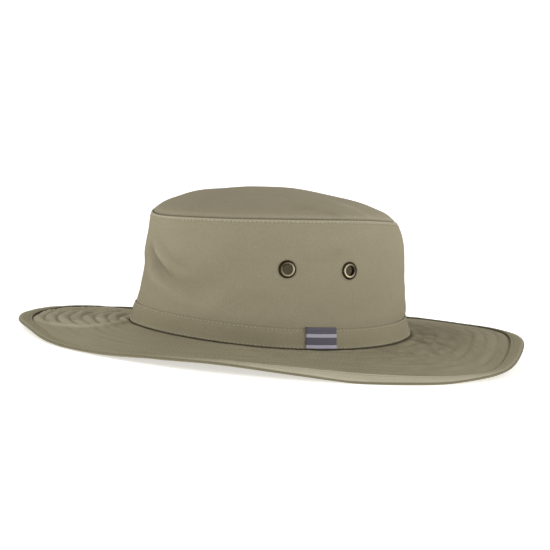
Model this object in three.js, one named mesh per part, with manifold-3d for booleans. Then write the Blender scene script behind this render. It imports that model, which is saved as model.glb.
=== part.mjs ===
// A ranger hat: a cotton hat with a tall oval crown, a domed tip, a plain band
// and a wide stitched brim with a bound edge.
// Units are millimetres. +Z is up, -Y is the front of the hat and +X the wearer's left.
//
// Every cloth piece is a thin closed wall worked out in the hat's own frame, where the
// crown's foot seam lies near z = 0. The last lines tip the hat forward by a small angle
// and set it down, because it rests on its drooping brim.

import * as THREE from 'three';
import { mergeVertices } from 'three/addons/utils/BufferGeometryUtils.js';
import Module from 'manifold-3d';

const wasm = await Module();
wasm.setup();

// ---------------------------------------------------------------- driving dimensions

const GAP = 0.3; // clearance between neighbouring pieces
const STATIONS = 64; // facets round the hat

const HEAD = { front: 103.4, back: 103.4, side: 86.4 }; // outside of the crown at its foot
const CLOTH = 1.5; // one crown panel
const BAND = { height: 14.4, thick: 1.3 };
const FOOT_DIP = 4.1; // how far the foot seam sinks at the two sides

// The brim's cloth thins over a short taper before it enters its binding.
const BRIM = { width: 83, backWidth: 85.5, thick: 2, boundThick: 1.2, taper: 0.4 };
const BRIM_ARCH = 1.5; // rise of the brim between its foot and its edge, front and back
const BRIM_DROOP = 1.15; // above 1, the brim drops more steeply toward its edge

// The binding is a strip folded over the brim's edge. Past the cloth it reaches out a
// little, and its fold rounds over to a share of its full height.
const BINDING = { width: 10, thick: 1, edgeReach: 1.3, roundOver: 1.4, noseShare: 0.35 };
const BINDING_START = BRIM.width - BINDING.width;
const BINDING_MIDDLE = BRIM.width - BINDING.width / 2;

const PITCH = THREE.MathUtils.degToRad(1.75); // forward tip of the hat as it rests
const REST_DEPTH = 12.0; // how far the foot seam is above the resting brim's middle layer
const REST_BLEND = 0.6; // height over which the drooping brim turns flat on the floor

const LABEL = { width: 23.5, thick: 1, lip: 1.3, bearing: 91.1 };
const EYELET = { spacing: 47.2, height: 51, holeRadius: 4.15, standOff: 0.6, sides: 16 };

const TIP_CREST = 100.8; // height of the dome's middle
const TIP_SHARPNESS = 3.3; // how suddenly the dome turns down at its seam
const TIP_REACH = 88; // from the tip seam to the dome's middle, on average
const TIP_SHOULDER = { height: 0.8, fromSeam: 6, spread: 4.5, start: 2 }; // fuller ring near the seam
const TIP_RISES = [0.7, 0.42, 0.2, 0.07]; // rows of the dome, from near its middle outward
const WALL_SHARES = [0.28, 0.42, 0.58, 0.76, 0.92]; // rows of the wall above the band

// The crown's side wall, from its foot to the tip seam: how far it reaches from the
// middle of the hat to the front, the back and each side.
const WALL_ROWS = [
  { share: 0.0, front: HEAD.front, back: HEAD.back, side: HEAD.side },
  { share: 0.15, front: 102.4, back: 98.9, side: 84.9 },
  { share: 0.22, front: 101.2, back: 99.9, side: 84.8 },
  { share: 0.35, front: 98.7, back: 99.1, side: 83.7 },
  { share: 0.5, front: 97.4, back: 97.1, side: 82.5 },
  { share: 0.64, front: 98.1, back: 96.0, side: 81.2 },
  { share: 0.8, front: 96.4, back: 94.8, side: 79.6 },
  { share: 0.92, front: 95.4, back: 91.1, side: 78.3 },
  { share: 1.0, front: 94.1, back: 86.0, side: 77.0 },
];

// Height of the tip seam above the foot, at each bearing from the front.
const TIP_SEAM_ROWS = [
  { bearing: 0, height: 80.0 },
  { bearing: 40, height: 82.7 },
  { bearing: 80, height: 85.8 },
  { bearing: 115, height: 86.3 },
  { bearing: 145, height: 83.6 },
  { bearing: 180, height: 80.5 },
  { bearing: 215, height: 83.6 },
  { bearing: 245, height: 86.3 },
  { bearing: 280, height: 85.8 },
  { bearing: 320, height: 82.7 },
];

// Height of the brim's edge against the foot seam, at each bearing from the front.
const BRIM_EDGE_ROWS = [
  { bearing: 0, height: -2.2 },
  { bearing: 15, height: -5.4 },
  { bearing: 30, height: -5.8 },
  { bearing: 45, height: -3.7 },
  { bearing: 60, height: -3.5 },
  { bearing: 75, height: -7.5 },
  { bearing: 90, height: -12.7 },
  { bearing: 105, height: -14.2 },
  { bearing: 120, height: -12.8 },
  { bearing: 135, height: -9.8 },
  { bearing: 150, height: -1.4 },
  { bearing: 165, height: -1.0 },
  { bearing: 180, height: -2.8 },
  { bearing: 195, height: -5.6 },
  { bearing: 210, height: -7.0 },
  { bearing: 225, height: -8.2 },
  { bearing: 240, height: -12.2 },
  { bearing: 255, height: -14.3 },
  { bearing: 270, height: -14.5 },
  { bearing: 285, height: -13.5 },
  { bearing: 300, height: -8.8 },
  { bearing: 315, height: -6.0 },
  { bearing: 330, height: -5.0 },
  { bearing: 345, height: -3.5 },
];

// How far the brim's outer few millimetres turn down (or up, where it is below 0).
const TURN_START = 70; // distance out along the brim where the turn begins
const TURN_BEND = 1.4; // above 1, the turn tightens toward the edge
const BRIM_TURN_ROWS = [
  { bearing: 0, turn: -3.4 },
  { bearing: 15, turn: -3.5 },
  { bearing: 30, turn: -3.4 },
  { bearing: 45, turn: -2.2 },
  { bearing: 60, turn: -0.3 },
  { bearing: 75, turn: 2.4 },
  { bearing: 90, turn: 4.6 },
  { bearing: 105, turn: 2.4 },
  { bearing: 120, turn: -2.2 },
  { bearing: 135, turn: -5.2 },
  { bearing: 150, turn: -3.8 },
  { bearing: 165, turn: 0.2 },
  { bearing: 180, turn: 0.2 },
  { bearing: 200, turn: 0.0 },
  { bearing: 300, turn: -0.2 },
  { bearing: 320, turn: -1.4 },
  { bearing: 340, turn: -2.0 },
];

// How much narrower the brim was cut at each bearing.
const BRIM_TRIM_ROWS = [
  { bearing: 0, trim: 2.2 },
  { bearing: 20, trim: -0.7 },
  { bearing: 45, trim: -0.8 },
  { bearing: 90, trim: -0.4 },
  { bearing: 115, trim: -0.1 },
  { bearing: 125, trim: -0.6 },
  { bearing: 135, trim: -0.1 },
  { bearing: 145, trim: 0.9 },
  { bearing: 155, trim: 1.3 },
  { bearing: 165, trim: 0.8 },
  { bearing: 180, trim: 0.4 },
  { bearing: 200, trim: -0.1 },
  { bearing: 330, trim: 0.3 },
  { bearing: 345, trim: 2.1 },
];

// Soft dents in the side wall: where each one lies, how far it spreads along and
// across its length, how it leans from level, and how deep it goes.
const DENT_FADE = { low: 0.16, span: 0.2 }; // shares of the wall where dents fade out
const WALL_DENTS = [
  { bearing: 12, share: 0.5, along: 30, across: 8, lean: -26, depth: 3.0 },
  { bearing: 40, share: 0.41, along: 16, across: 12, lean: 0, depth: 1.4 },
  { bearing: 62, share: 0.66, along: 40, across: 14, lean: 30, depth: 0.8 },
  { bearing: 205, share: 0.5, along: 36, across: 15, lean: 35, depth: 1.6 },
  { bearing: 300, share: 0.5, along: 38, across: 14, lean: -30, depth: 1.8 },
];

// Soft hollows (and, with a negative depth, ridges) in the tip, placed from the middle
// of the hat toward the wearer's left and toward the back.
const TIP_DENTS = [
  { left: 8, back: 2, along: 46, across: 26, lean: 82, depth: 3.0 },
  { left: 40, back: 34, along: 26, across: 9, lean: 55, depth: 1.6 },
  { left: -30, back: -30, along: 30, across: 14, lean: 60, depth: 1.2 },
  { left: 0, back: 56, along: 45, across: 28, lean: 0, depth: 1.8 },
];

// ---------------------------------------------------------------- smooth tables

const radians = THREE.MathUtils.degToRad;

// A smooth curve through the rows of a table: a cubic between each two rows, whose
// slopes come from the rows on either side. A period makes the table a closed ring.
function smooth(rows, key, column, at, period = 0) {
  const last = rows.length - 1;
  const row = (index) => {
    if (!period) return rows[THREE.MathUtils.clamp(index, 0, last)];
    return rows[(index + rows.length) % rows.length];
  };
  const place = (index) => {
    if (!period) return row(index)[key];
    return row(index)[key] + period * Math.floor(index / rows.length);
  };
  const value = period ? THREE.MathUtils.euclideanModulo(at, period) : at;
  let index = 0;
  while (index < (period ? last : last - 1) && value >= place(index + 1)) index += 1;
  const span = place(index + 1) - place(index);
  const slope = (middle) => {
    const width = place(middle + 1) - place(middle - 1);
    return ((row(middle + 1)[column] - row(middle - 1)[column]) / width) * span;
  };
  const t = (value - place(index)) / span;
  const from = row(index)[column];
  const to = row(index + 1)[column];
  const bend = slope(index) * t * (1 - t) ** 2 - slope(index + 1) * t * t * (1 - t);
  return from + (to - from) * t * t * (3 - 2 * t) + bend;
}

// A dent is a long soft bell: 1 in its middle, near 0 past its length and width.
function dentShape(dent, right, up) {
  const lean = radians(dent.lean);
  const along = (right * Math.cos(lean) + up * Math.sin(lean)) / dent.along;
  const across = (up * Math.cos(lean) - right * Math.sin(lean)) / dent.across;
  return Math.exp(-2 * (along * along + across * across));
}

// ---------------------------------------------------------------- surfaces of the hat

// A point on an oval with its own reach to the front, the back and the sides.
function onOval(bearing, reach, z) {
  const turn = radians(bearing);
  const middle = (reach.front + reach.back) / 2;
  const lopsided = (reach.front - reach.back) / 2;
  const length = middle + lopsided * Math.cos(turn);
  return new THREE.Vector3(reach.side * Math.sin(turn), -length * Math.cos(turn), z);
}

function footHeight(bearing) {
  return -FOOT_DIP * Math.sin(radians(bearing)) ** 2;
}

function tipSeamHeight(bearing) {
  return smooth(TIP_SEAM_ROWS, 'bearing', 'height', bearing, 360);
}

function wallReach(share) {
  const reach = {};
  for (const side of ['front', 'back', 'side']) reach[side] = smooth(WALL_ROWS, 'share', side, share);
  return reach;
}

// The wall's outer face. Its share runs from 0 at the foot to 1 at the tip seam.
function wall(bearing, share) {
  const foot = footHeight(bearing);
  const height = foot + share * (tipSeamHeight(bearing) - foot);
  const point = onOval(bearing, wallReach(share), height);
  const out = new THREE.Vector3(point.x, point.y, 0).normalize();
  const fadeTop = (1 - share) / DENT_FADE.span;
  const fadeLow = Math.max(0, (share - DENT_FADE.low) / DENT_FADE.span);
  const fade = Math.min(1, fadeTop, fadeLow);
  for (const dent of WALL_DENTS) {
    const turned = THREE.MathUtils.euclideanModulo(bearing - dent.bearing + 180, 360) - 180;
    const right = radians(turned) * HEAD.side;
    const up = (share - dent.share) * TIP_SEAM_ROWS[0].height;
    point.addScaledVector(out, -dent.depth * fade * dentShape(dent, right, up));
  }
  return point;
}

function shareAt(bearing, height) {
  return height / (tipSeamHeight(bearing) - footHeight(bearing));
}

// The tip's outer face. Its rise runs from 0 at the seam to 1 in the middle.
function tip(bearing, rise) {
  const share = 1 - rise;
  const reach = wallReach(1);
  const seam = tipSeamHeight(bearing);
  const height = TIP_CREST + (seam - TIP_CREST) * share ** TIP_SHARPNESS;
  const scaled = { front: reach.front * share, back: reach.back * share, side: reach.side * share };
  const point = onOval(bearing, scaled, height);
  const fade = 1 - share ** 4;
  for (const dent of TIP_DENTS) {
    point.z -= dent.depth * fade * dentShape(dent, point.x - dent.left, point.y - dent.back);
  }
  const fromSeam = rise * TIP_REACH;
  const ring = Math.exp(-(((fromSeam - TIP_SHOULDER.fromSeam) / TIP_SHOULDER.spread) ** 2));
  const begun = 1 - Math.exp(-((fromSeam / TIP_SHOULDER.start) ** 2));
  point.z += TIP_SHOULDER.height * ring * begun;
  return point;
}

// The floor's height in the hat's own frame, raised by half of the bound edge's
// thickness: the brim's middle layer stays above it.
function restHeight(y) {
  return -REST_DEPTH - Math.tan(PITCH) * y;
}

// Holds a height above a limit, with a soft turn where it reaches it.
function keptAbove(height, limit) {
  const over = THREE.MathUtils.clamp(height - limit, -REST_BLEND, REST_BLEND);
  const turned = (over + REST_BLEND) ** 2 / (4 * REST_BLEND);
  return limit + turned + Math.max(0, height - limit - REST_BLEND);
}

// The brim's middle layer. Its distance runs outward from the foot seam.
function brimMiddle(bearing, distance) {
  const share = distance / BRIM.width;
  const out = Math.max(0, share);
  const trim = smooth(BRIM_TRIM_ROWS, 'bearing', 'trim', bearing, 360) * out;
  const seam = GAP + BAND.thick - trim;
  const reach = {
    front: HEAD.front + seam + distance,
    back: HEAD.back + seam + share * BRIM.backWidth,
    side: HEAD.side + seam + distance,
  };
  const start = footHeight(bearing) - BRIM.thick / 2;
  const turn = smooth(BRIM_TURN_ROWS, 'bearing', 'turn', bearing, 360);
  const edge = smooth(BRIM_EDGE_ROWS, 'bearing', 'height', bearing, 360) + turn;
  const past = Math.max(0, (distance - TURN_START) / (BRIM.width - TURN_START));
  const turned = turn * Math.min(1, past) ** TURN_BEND;
  const arch = BRIM_ARCH * Math.sin(Math.PI * out) * Math.cos(radians(bearing)) ** 2;
  const height = start + (edge - start) * out ** BRIM_DROOP - turned + arch;
  const point = onOval(bearing, reach, height);
  point.z = keptAbove(point.z, restHeight(point.y));
  return point;
}

// ---------------------------------------------------------------- walls from surfaces

// The direction square to a surface, away from the middle of the hat or upward.
function outward(surface, bearing, along) {
  const step = 1e-3;
  const round = surface(bearing + step, along).sub(surface(bearing - step, along));
  const up = surface(bearing, along + step).sub(surface(bearing, along - step));
  return round.cross(up).normalize();
}

function lifted(surface, bearing, along, height) {
  return surface(bearing, along).addScaledVector(outward(surface, bearing, along), height);
}

// A closed mesh whose faces point out, whichever way round they were listed.
function closedGeometry(points, faces) {
  let volume = 0;
  for (const [a, b, c] of faces) {
    volume += points[a].dot(points[b].clone().cross(points[c]));
  }
  const outFaces = volume > 0 ? faces : faces.map(([a, b, c]) => [a, c, b]);
  const geometry = new THREE.BufferGeometry();
  const positions = points.flatMap((point) => point.toArray());
  geometry.setAttribute('position', new THREE.Float32BufferAttribute(positions, 3));
  geometry.setIndex(outFaces.flat());
  return geometry;
}

// Two triangles between each pair of neighbours on two rows of points.
function joinRows(faces, rowA, rowB, count, closed) {
  for (let i = 0; i < (closed ? count : count - 1); i += 1) {
    const j = (i + 1) % count;
    faces.push([rowA + i, rowB + i, rowB + j], [rowA + i, rowB + j, rowA + j]);
  }
}

const STEP = 360 / STATIONS;
const BEARINGS = Array.from({ length: STATIONS }, (_, index) => index * STEP);

// A closed section carried right round the hat.
function ringGeometry(sectionAt) {
  const sections = BEARINGS.map(sectionAt);
  const count = sections[0].length;
  const faces = [];
  for (let i = 0; i < STATIONS; i += 1) {
    joinRows(faces, i * count, ((i + 1) % STATIONS) * count, count, true);
  }
  return closedGeometry(sections.flat(), faces);
}

// A section carried round the hat whose two ends meet in the middle.
function domeGeometry(sectionAt, topMiddle, bottomMiddle) {
  const sections = BEARINGS.map(sectionAt);
  const count = sections[0].length;
  const points = [...sections.flat(), topMiddle, bottomMiddle];
  const top = points.length - 2;
  const faces = [];
  for (let i = 0; i < STATIONS; i += 1) {
    const here = i * count;
    const next = ((i + 1) % STATIONS) * count;
    joinRows(faces, here, next, count, false);
    faces.push([top, next, here], [top + 1, here + count - 1, next + count - 1]);
  }
  return closedGeometry(points, faces);
}

// A closed section carried along a few bearings, with a flat cap at each end.
function stripGeometry(bearings, sectionAt) {
  const sections = bearings.map(sectionAt);
  const count = sections[0].length;
  const faces = [];
  for (let i = 0; i + 1 < sections.length; i += 1) {
    joinRows(faces, i * count, (i + 1) * count, count, true);
  }
  const outline = sections[0].map((point) => new THREE.Vector2(Math.hypot(point.x, point.y), point.z));
  const last = (sections.length - 1) * count;
  for (const [a, b, c] of THREE.ShapeUtils.triangulateShape(outline, [])) {
    faces.push([a, b, c], [last + a, last + c, last + b]);
  }
  return closedGeometry(sections.flat(), faces);
}

// ---------------------------------------------------------------- booleans

function toManifold(geometry) {
  const plain = geometry.clone();
  plain.deleteAttribute('normal');
  plain.deleteAttribute('uv');
  const merged = mergeVertices(plain, 1e-4);
  const mesh = new wasm.Mesh({
    numProp: 3,
    vertProperties: new Float32Array(merged.attributes.position.array),
    triVerts: new Uint32Array(merged.index.array),
  });
  return new wasm.Manifold(mesh);
}

function fromManifold(solid) {
  const mesh = solid.getMesh();
  const geometry = new THREE.BufferGeometry();
  geometry.setAttribute('position', new THREE.BufferAttribute(mesh.vertProperties, 3));
  geometry.setIndex(new THREE.BufferAttribute(mesh.triVerts, 1));
  return geometry;
}

// ---------------------------------------------------------------- the crown

// The mitre where the wall and the tip are sewn together: from the outer seam line to
// the inner one, and square to that, toward the tip.
function seamMitre(bearing) {
  const wallIn = outward(wall, bearing, 0.995).negate();
  const tipIn = outward(tip, bearing, 0.005).negate();
  const inner = wallIn.clone().add(tipIn).normalize();
  inner.multiplyScalar(CLOTH / inner.dot(wallIn));
  const round = new THREE.Vector3(-wallIn.y, wallIn.x, 0).normalize();
  const toTip = inner.clone().cross(round).normalize();
  if (toTip.z < 0) toTip.negate();
  return { inner, toTip };
}

function seamEdge(bearing, side) {
  const { inner, toTip } = seamMitre(bearing);
  const outerPoint = wall(bearing, 1).addScaledVector(toTip, (side * GAP) / 2);
  return { outerPoint, innerPoint: outerPoint.clone().add(inner) };
}

// The rows under the band. The wall, the band and the label share them, so that their
// facets stay parallel.
function bandShares(bearing) {
  return [GAP, BAND.height / 2, BAND.height].map((height) => shareAt(bearing, height));
}

function crownSideSection(bearing) {
  const shares = [...bandShares(bearing), ...WALL_SHARES];
  const top = seamEdge(bearing, -1);
  const outer = shares.map((share) => wall(bearing, share));
  const inner = shares.map((share) => lifted(wall, bearing, share, -CLOTH));
  inner[0].z = outer[0].z;
  return [...outer, top.outerPoint, top.innerPoint, ...inner.reverse()];
}

function crownTipSection(bearing) {
  const rim = seamEdge(bearing, 1);
  const outer = TIP_RISES.map((rise) => tip(bearing, rise));
  const inner = TIP_RISES.map((rise) => lifted(tip, bearing, rise, -CLOTH));
  return [...outer, rim.outerPoint, rim.innerPoint, ...inner.reverse()];
}

// ---------------------------------------------------------------- the band and its label

function bandSection(bearing) {
  const shares = bandShares(bearing);
  const inner = shares.map((share) => lifted(wall, bearing, share, GAP));
  const outer = shares.reverse().map((share) => lifted(wall, bearing, share, GAP + BAND.thick));
  inner[0].z = footHeight(bearing) + GAP;
  outer[2].z = footHeight(bearing) + GAP;
  return [...inner, ...outer];
}

function labelSection(bearing) {
  const inside = 2 * GAP + BAND.thick;
  const outside = inside + LABEL.thick;
  const low = shareAt(bearing, 2 * GAP);
  const middle = shareAt(bearing, BAND.height / 2);
  const lipLow = shareAt(bearing, BAND.height + GAP);
  const lipHigh = shareAt(bearing, BAND.height + LABEL.lip);
  return [
    lifted(wall, bearing, low, inside),
    lifted(wall, bearing, low, outside),
    lifted(wall, bearing, middle, outside),
    lifted(wall, bearing, lipLow, outside),
    lifted(wall, bearing, lipHigh, outside - LABEL.thick / 2),
    lifted(wall, bearing, lipHigh, GAP),
    lifted(wall, bearing, lipLow, GAP),
    lifted(wall, bearing, lipLow, inside),
    lifted(wall, bearing, middle, inside),
  ];
}

// ---------------------------------------------------------------- the brim

// Where a layer of the brim lies: its distance out from the foot seam and its height
// off the brim's middle.
function brimLayer(bearing, distance, height) {
  return lifted(brimMiddle, bearing, distance, height);
}

function brimSection(bearing) {
  const half = BRIM.thick / 2;
  const boundHalf = BRIM.boundThick / 2;
  const innerEdge = -(CLOTH + GAP + BAND.thick);
  const marginStart = BINDING_START - GAP;
  const clothEdge = BRIM.width - BINDING.edgeReach - 2 * GAP;
  const top = [
    [innerEdge, half],
    [0, half],
    [BRIM.width * 0.25, half],
    [BRIM.width * 0.55, half],
    [marginStart - BRIM.taper, half],
    [marginStart, boundHalf],
    [BINDING_MIDDLE, boundHalf],
    [clothEdge, boundHalf],
  ];
  const layer = (side) => ([distance, height]) => brimLayer(bearing, distance, side * height);
  return [...top.map(layer(1)), ...top.reverse().map(layer(-1))];
}

// Its inner rows run the same way as the brim's rows, so that the facets of the two
// stay parallel.
function bindingSection(bearing) {
  const inside = BRIM.boundThick / 2 + GAP;
  const outside = inside + BINDING.thick;
  const insideEnd = BRIM.width - BINDING.edgeReach - GAP;
  const half = [
    [BRIM.width, outside * BINDING.noseShare],
    [BRIM.width - BINDING.roundOver, outside],
    [BINDING_MIDDLE, outside],
    [BINDING_START, outside],
    [BINDING_START, inside],
    [BINDING_MIDDLE, inside],
    [insideEnd, inside],
  ];
  const layer = (side) => ([distance, height]) => brimLayer(bearing, distance, side * height);
  return [...half.map(layer(1)), ...half.reverse().map(layer(-1))];
}

// ---------------------------------------------------------------- the eyelets

// Half of a rolled eyelet's section, closed on itself: distance from its axis and
// height off the cloth's outer face.
const EYELET_SECTION = [
  { radius: 3.4, height: EYELET.standOff + 0.6 },
  { radius: 3.95, height: EYELET.standOff + 1.2 },
  { radius: 4.6, height: EYELET.standOff + 0.65 },
  { radius: 6.1, height: EYELET.standOff + 0.65 },
  { radius: 6.3, height: EYELET.standOff },
  { radius: EYELET.holeRadius - GAP, height: EYELET.standOff },
  { radius: EYELET.holeRadius - GAP, height: -CLOTH - EYELET.standOff },
  { radius: 5.6, height: -CLOTH - EYELET.standOff },
  { radius: 5.4, height: -CLOTH - EYELET.standOff - 0.6 },
  { radius: 3.4, height: -CLOTH - EYELET.standOff - 0.6 },
];

// The bearing on one side of the hat at which the wall lies a given way toward the back.
function bearingAt(side, back) {
  const share = EYELET.height / TIP_SEAM_ROWS[2].height;
  const reach = wallReach(share);
  const turn = Math.asin(back / ((reach.front + reach.back) / 2));
  return side > 0 ? 90 + THREE.MathUtils.radToDeg(turn) : 270 - THREE.MathUtils.radToDeg(turn);
}

// The place of an eyelet: its middle on the wall's outer face, and the turn that points
// its axis straight out of the wall.
function eyeletSeat(side, back) {
  const bearing = bearingAt(side, back);
  const share = shareAt(bearing, EYELET.height - footHeight(bearing));
  const out = outward(wall, bearing, share);
  const turn = new THREE.Quaternion().setFromUnitVectors(new THREE.Vector3(0, 1, 0), out);
  return { place: wall(bearing, share), turn };
}

const EYELETS = [
  { name: 'eyelet_left_front', side: 1, back: -EYELET.spacing / 2 },
  { name: 'eyelet_left_back', side: 1, back: EYELET.spacing / 2 },
  { name: 'eyelet_right_front', side: -1, back: -EYELET.spacing / 2 },
  { name: 'eyelet_right_back', side: -1, back: EYELET.spacing / 2 },
];

function eyeletGeometry() {
  const outline = EYELET_SECTION.map(({ radius, height }) => new THREE.Vector2(radius, height));
  outline.push(outline[0].clone());
  outline.reverse();
  return new THREE.LatheGeometry(outline, EYELET.sides);
}

// The side wall with a round hole for each eyelet.
function crownSideGeometry() {
  let solid = toManifold(ringGeometry(crownSideSection));
  for (const { side, back } of EYELETS) {
    const { place, turn } = eyeletSeat(side, back);
    const punch = new THREE.CylinderGeometry(EYELET.holeRadius, EYELET.holeRadius, 6 * CLOTH, EYELET.sides);
    punch.applyMatrix4(new THREE.Matrix4().compose(place, turn, new THREE.Vector3(1, 1, 1)));
    solid = solid.subtract(toManifold(punch));
  }
  return fromManifold(solid);
}

// ---------------------------------------------------------------- materials

function cloth(color) {
  return new THREE.MeshStandardMaterial({ color, roughness: 0.9, metalness: 0 });
}

const crownCloth = () => cloth('#938b72');
const brimCloth = () => cloth('#8b8369');
const labelWeave = () => cloth('#57545f');
const antiqueBrass = () => {
  return new THREE.MeshStandardMaterial({ color: '#8a7f5f', roughness: 0.4, metalness: 1 });
};

// ---------------------------------------------------------------- the whole hat

const hat = new THREE.Group();

function addPiece(name, geometry, material) {
  const mesh = new THREE.Mesh(geometry, material);
  mesh.name = name;
  hat.add(mesh);
  return mesh;
}

const tipMiddle = tip(0, 1);
const tipMiddleInside = tipMiddle.clone().setZ(tipMiddle.z - CLOTH);
addPiece('crown_tip', domeGeometry(crownTipSection, tipMiddle, tipMiddleInside), crownCloth());
addPiece('crown_side', crownSideGeometry(), crownCloth());
addPiece('hat_band', ringGeometry(bandSection), crownCloth());

const labelHalfTurn = THREE.MathUtils.radToDeg(Math.asin(LABEL.width / 2 / HEAD.front));
const labelEnds = [LABEL.bearing - labelHalfTurn, LABEL.bearing + labelHalfTurn];
const labelBearings = [labelEnds[0], 90, 90 + STEP, labelEnds[1]];
addPiece('label', stripGeometry(labelBearings, labelSection), labelWeave());

for (const { name, side, back } of EYELETS) {
  const { place, turn } = eyeletSeat(side, back);
  const eyelet = addPiece(name, eyeletGeometry(), antiqueBrass());
  eyelet.position.copy(place);
  eyelet.quaternion.copy(turn);
}

addPiece('brim', ringGeometry(brimSection), brimCloth());
addPiece('brim_binding', ringGeometry(bindingSection), brimCloth());

// Tip the hat forward onto its brim, then stand the middle of its base on the origin.
hat.rotation.x = PITCH;
const stood = new THREE.Group();
stood.add(hat);
const box = new THREE.Box3().setFromObject(stood, true);
const middle = box.getCenter(new THREE.Vector3());
hat.position.set(-middle.x, -middle.y, -box.min.z);

export default stood;
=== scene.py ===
# %% [markdown]
# # A ranger hat
#
# The hat is sewn from cotton twill: a domed tip and a tall side wall make the crown, a
# plain band hides the seam at its foot, and a wide brim of two plies is stitched in rings
# and bound at its edge. Four rolled brass eyelets let air out, and a small woven loop is
# caught in the band.

# %% Open the measured frame
import math

import bpy
import numpy as np
from mathutils import Matrix, Vector


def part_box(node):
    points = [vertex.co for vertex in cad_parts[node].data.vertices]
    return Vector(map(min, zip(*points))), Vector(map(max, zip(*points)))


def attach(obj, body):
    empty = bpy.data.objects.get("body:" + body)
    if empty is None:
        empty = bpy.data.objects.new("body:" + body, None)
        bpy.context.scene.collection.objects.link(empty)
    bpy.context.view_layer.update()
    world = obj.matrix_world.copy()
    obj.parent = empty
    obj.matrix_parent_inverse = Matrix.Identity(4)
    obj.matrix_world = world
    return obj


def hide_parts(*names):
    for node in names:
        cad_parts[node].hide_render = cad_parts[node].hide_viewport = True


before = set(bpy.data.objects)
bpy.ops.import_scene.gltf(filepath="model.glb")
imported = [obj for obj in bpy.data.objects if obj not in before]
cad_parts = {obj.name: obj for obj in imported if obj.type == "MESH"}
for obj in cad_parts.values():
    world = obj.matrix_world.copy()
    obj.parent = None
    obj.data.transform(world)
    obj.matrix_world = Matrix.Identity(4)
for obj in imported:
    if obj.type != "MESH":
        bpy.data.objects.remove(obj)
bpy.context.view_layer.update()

print("pieces in the frame:", sorted(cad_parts))

# %% [markdown]
# ## Sizes
#
# A hat maker works in millimetres from the head upward, so all sizes are kept that way, in
# the hat's own frame: +Z up, -Y to the front, +X to the wearer's left, and the seam at the
# crown's foot near z = 0. A bearing is an angle round the hat, from the front toward the
# wearer's left.

# %% Main sizes, in millimetres
GAP = 0.3
CLOTH = 1.5
HEAD = {"front": 103.4, "back": 103.4, "side": 86.4}
BAND_HEIGHT, BAND_THICK = 14.4, 1.3
FOOT_DIP = 4.1
BRIM_WIDTH, BRIM_BACK_WIDTH = 83.0, 85.5
BRIM_THICK, BOUND_THICK = 2.0, 1.2
BRIM_ARCH, BRIM_DROOP = 1.5, 1.15
BINDING_WIDTH, BINDING_THICK = 10.0, 1.0
BINDING_ROUND, NOSE_SHARE = 1.4, 0.35
# how far the hat tips forward
PITCH = math.radians(1.75)
# how far below the foot seam the brim comes to rest, and how softly it levels off there
REST_DEPTH, REST_BLEND = 12.0, 0.6
# height of the tip's middle, how squarely it turns down at the seam, and its run from the
# seam in to the middle
TIP_CREST, TIP_SHARPNESS, TIP_REACH = 100.8, 3.3, 88.0
# the fuller shoulder just inside the tip seam: height, distance in, spread, and how soon it starts
TIP_SHOULDER, SHOULDER_AT, SHOULDER_SPREAD, SHOULDER_START = 0.9, 7, 6.0, 2
print("head opening:", HEAD["front"] * 2 - 2 * CLOTH, "by", HEAD["side"] * 2 - 2 * CLOTH, "mm")

# %% [markdown]
# ## The outline as tables
#
# A sewn and worn hat is no exact oval. Its seams rise and dip, its brim droops at the sides,
# and the cloth keeps a few dents. Each of those is a table here, and a smooth line is drawn
# through its rows. A formula would need fewer numbers, but it would miss how soft cloth
# wanders.
#
# Four of these tables are not a good example. The wall's reach to the front and back, and
# the brim's edge, turn and trim, were fitted by a program to a measured outline and then
# rounded, with a few rows changed. That is why they have so many rows. Rows chosen
# by hand would be fewer and easier to follow.

# %% Tables for the wall
# share of the wall's height, reach to the front, to the back, to each side; the two reaches
# to the front and back are fitted
WALL_ROWS = [
    (0.0, 103.4, 103.4, 86.4),
    (0.15, 102.4, 98.9, 84.9),
    (0.22, 101.2, 99.9, 84.8),
    (0.35, 98.7, 99.1, 83.7),
    (0.5, 97.4, 97.1, 82.5),
    (0.64, 98.1, 96.0, 81.2),
    (0.8, 96.4, 94.8, 79.6),
    (0.92, 95.4, 91.1, 78.3),
    (1.0, 94.1, 86.0, 77.0),
]
# bearing, height of the tip seam
TIP_SEAM_ROWS = [
    (0, 80.0), (40, 82.7), (80, 85.8), (115, 86.3), (145, 83.6),
    (180, 80.5), (215, 83.6), (245, 86.3), (280, 85.8), (320, 82.7),
]
FRONT_TALL = TIP_SEAM_ROWS[0][1]
# bearing, share, length, breadth, lean from level in degrees, depth
WALL_DENTS = [
    (40, 0.41, 16, 12, 0, 1.4),
    (62, 0.66, 40, 14, 30, 0.8),
    (205, 0.5, 36, 15, 35, 1.6),
    (300, 0.5, 38, 14, -30, 1.8),
]
# shares of the wall: where its dents begin above the foot, and over how much they fade
DENT_LOW, DENT_FADE = 0.16, 0.2
# toward the left, toward the back, length, breadth, lean in degrees, depth
TIP_DENTS = [
    (8, 2, 46, 26, 82, 3.0),
    (40, 34, 26, 9, 55, 1.6),
    (-30, -30, 30, 14, 60, 1.2),
    (0, 56, 45, 28, 0, 1.8),
]
print("the wall is", FRONT_TALL, "mm tall at the front")

# %% Tables for the brim
# bearing, height of the brim's edge against the foot seam; fitted
BRIM_EDGE_ROWS = [
    (0, -2.2), (15, -5.4), (30, -5.8), (45, -3.7), (60, -3.5), (75, -7.5),
    (90, -12.7), (105, -14.2), (120, -12.8), (135, -9.8), (150, -1.4), (165, -1.0),
    (180, -2.8), (195, -5.6), (210, -7.0), (225, -8.2), (240, -12.2), (255, -14.3),
    (270, -14.5), (285, -13.5), (300, -8.8), (315, -6.0), (330, -5.0), (345, -3.5),
]
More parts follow.
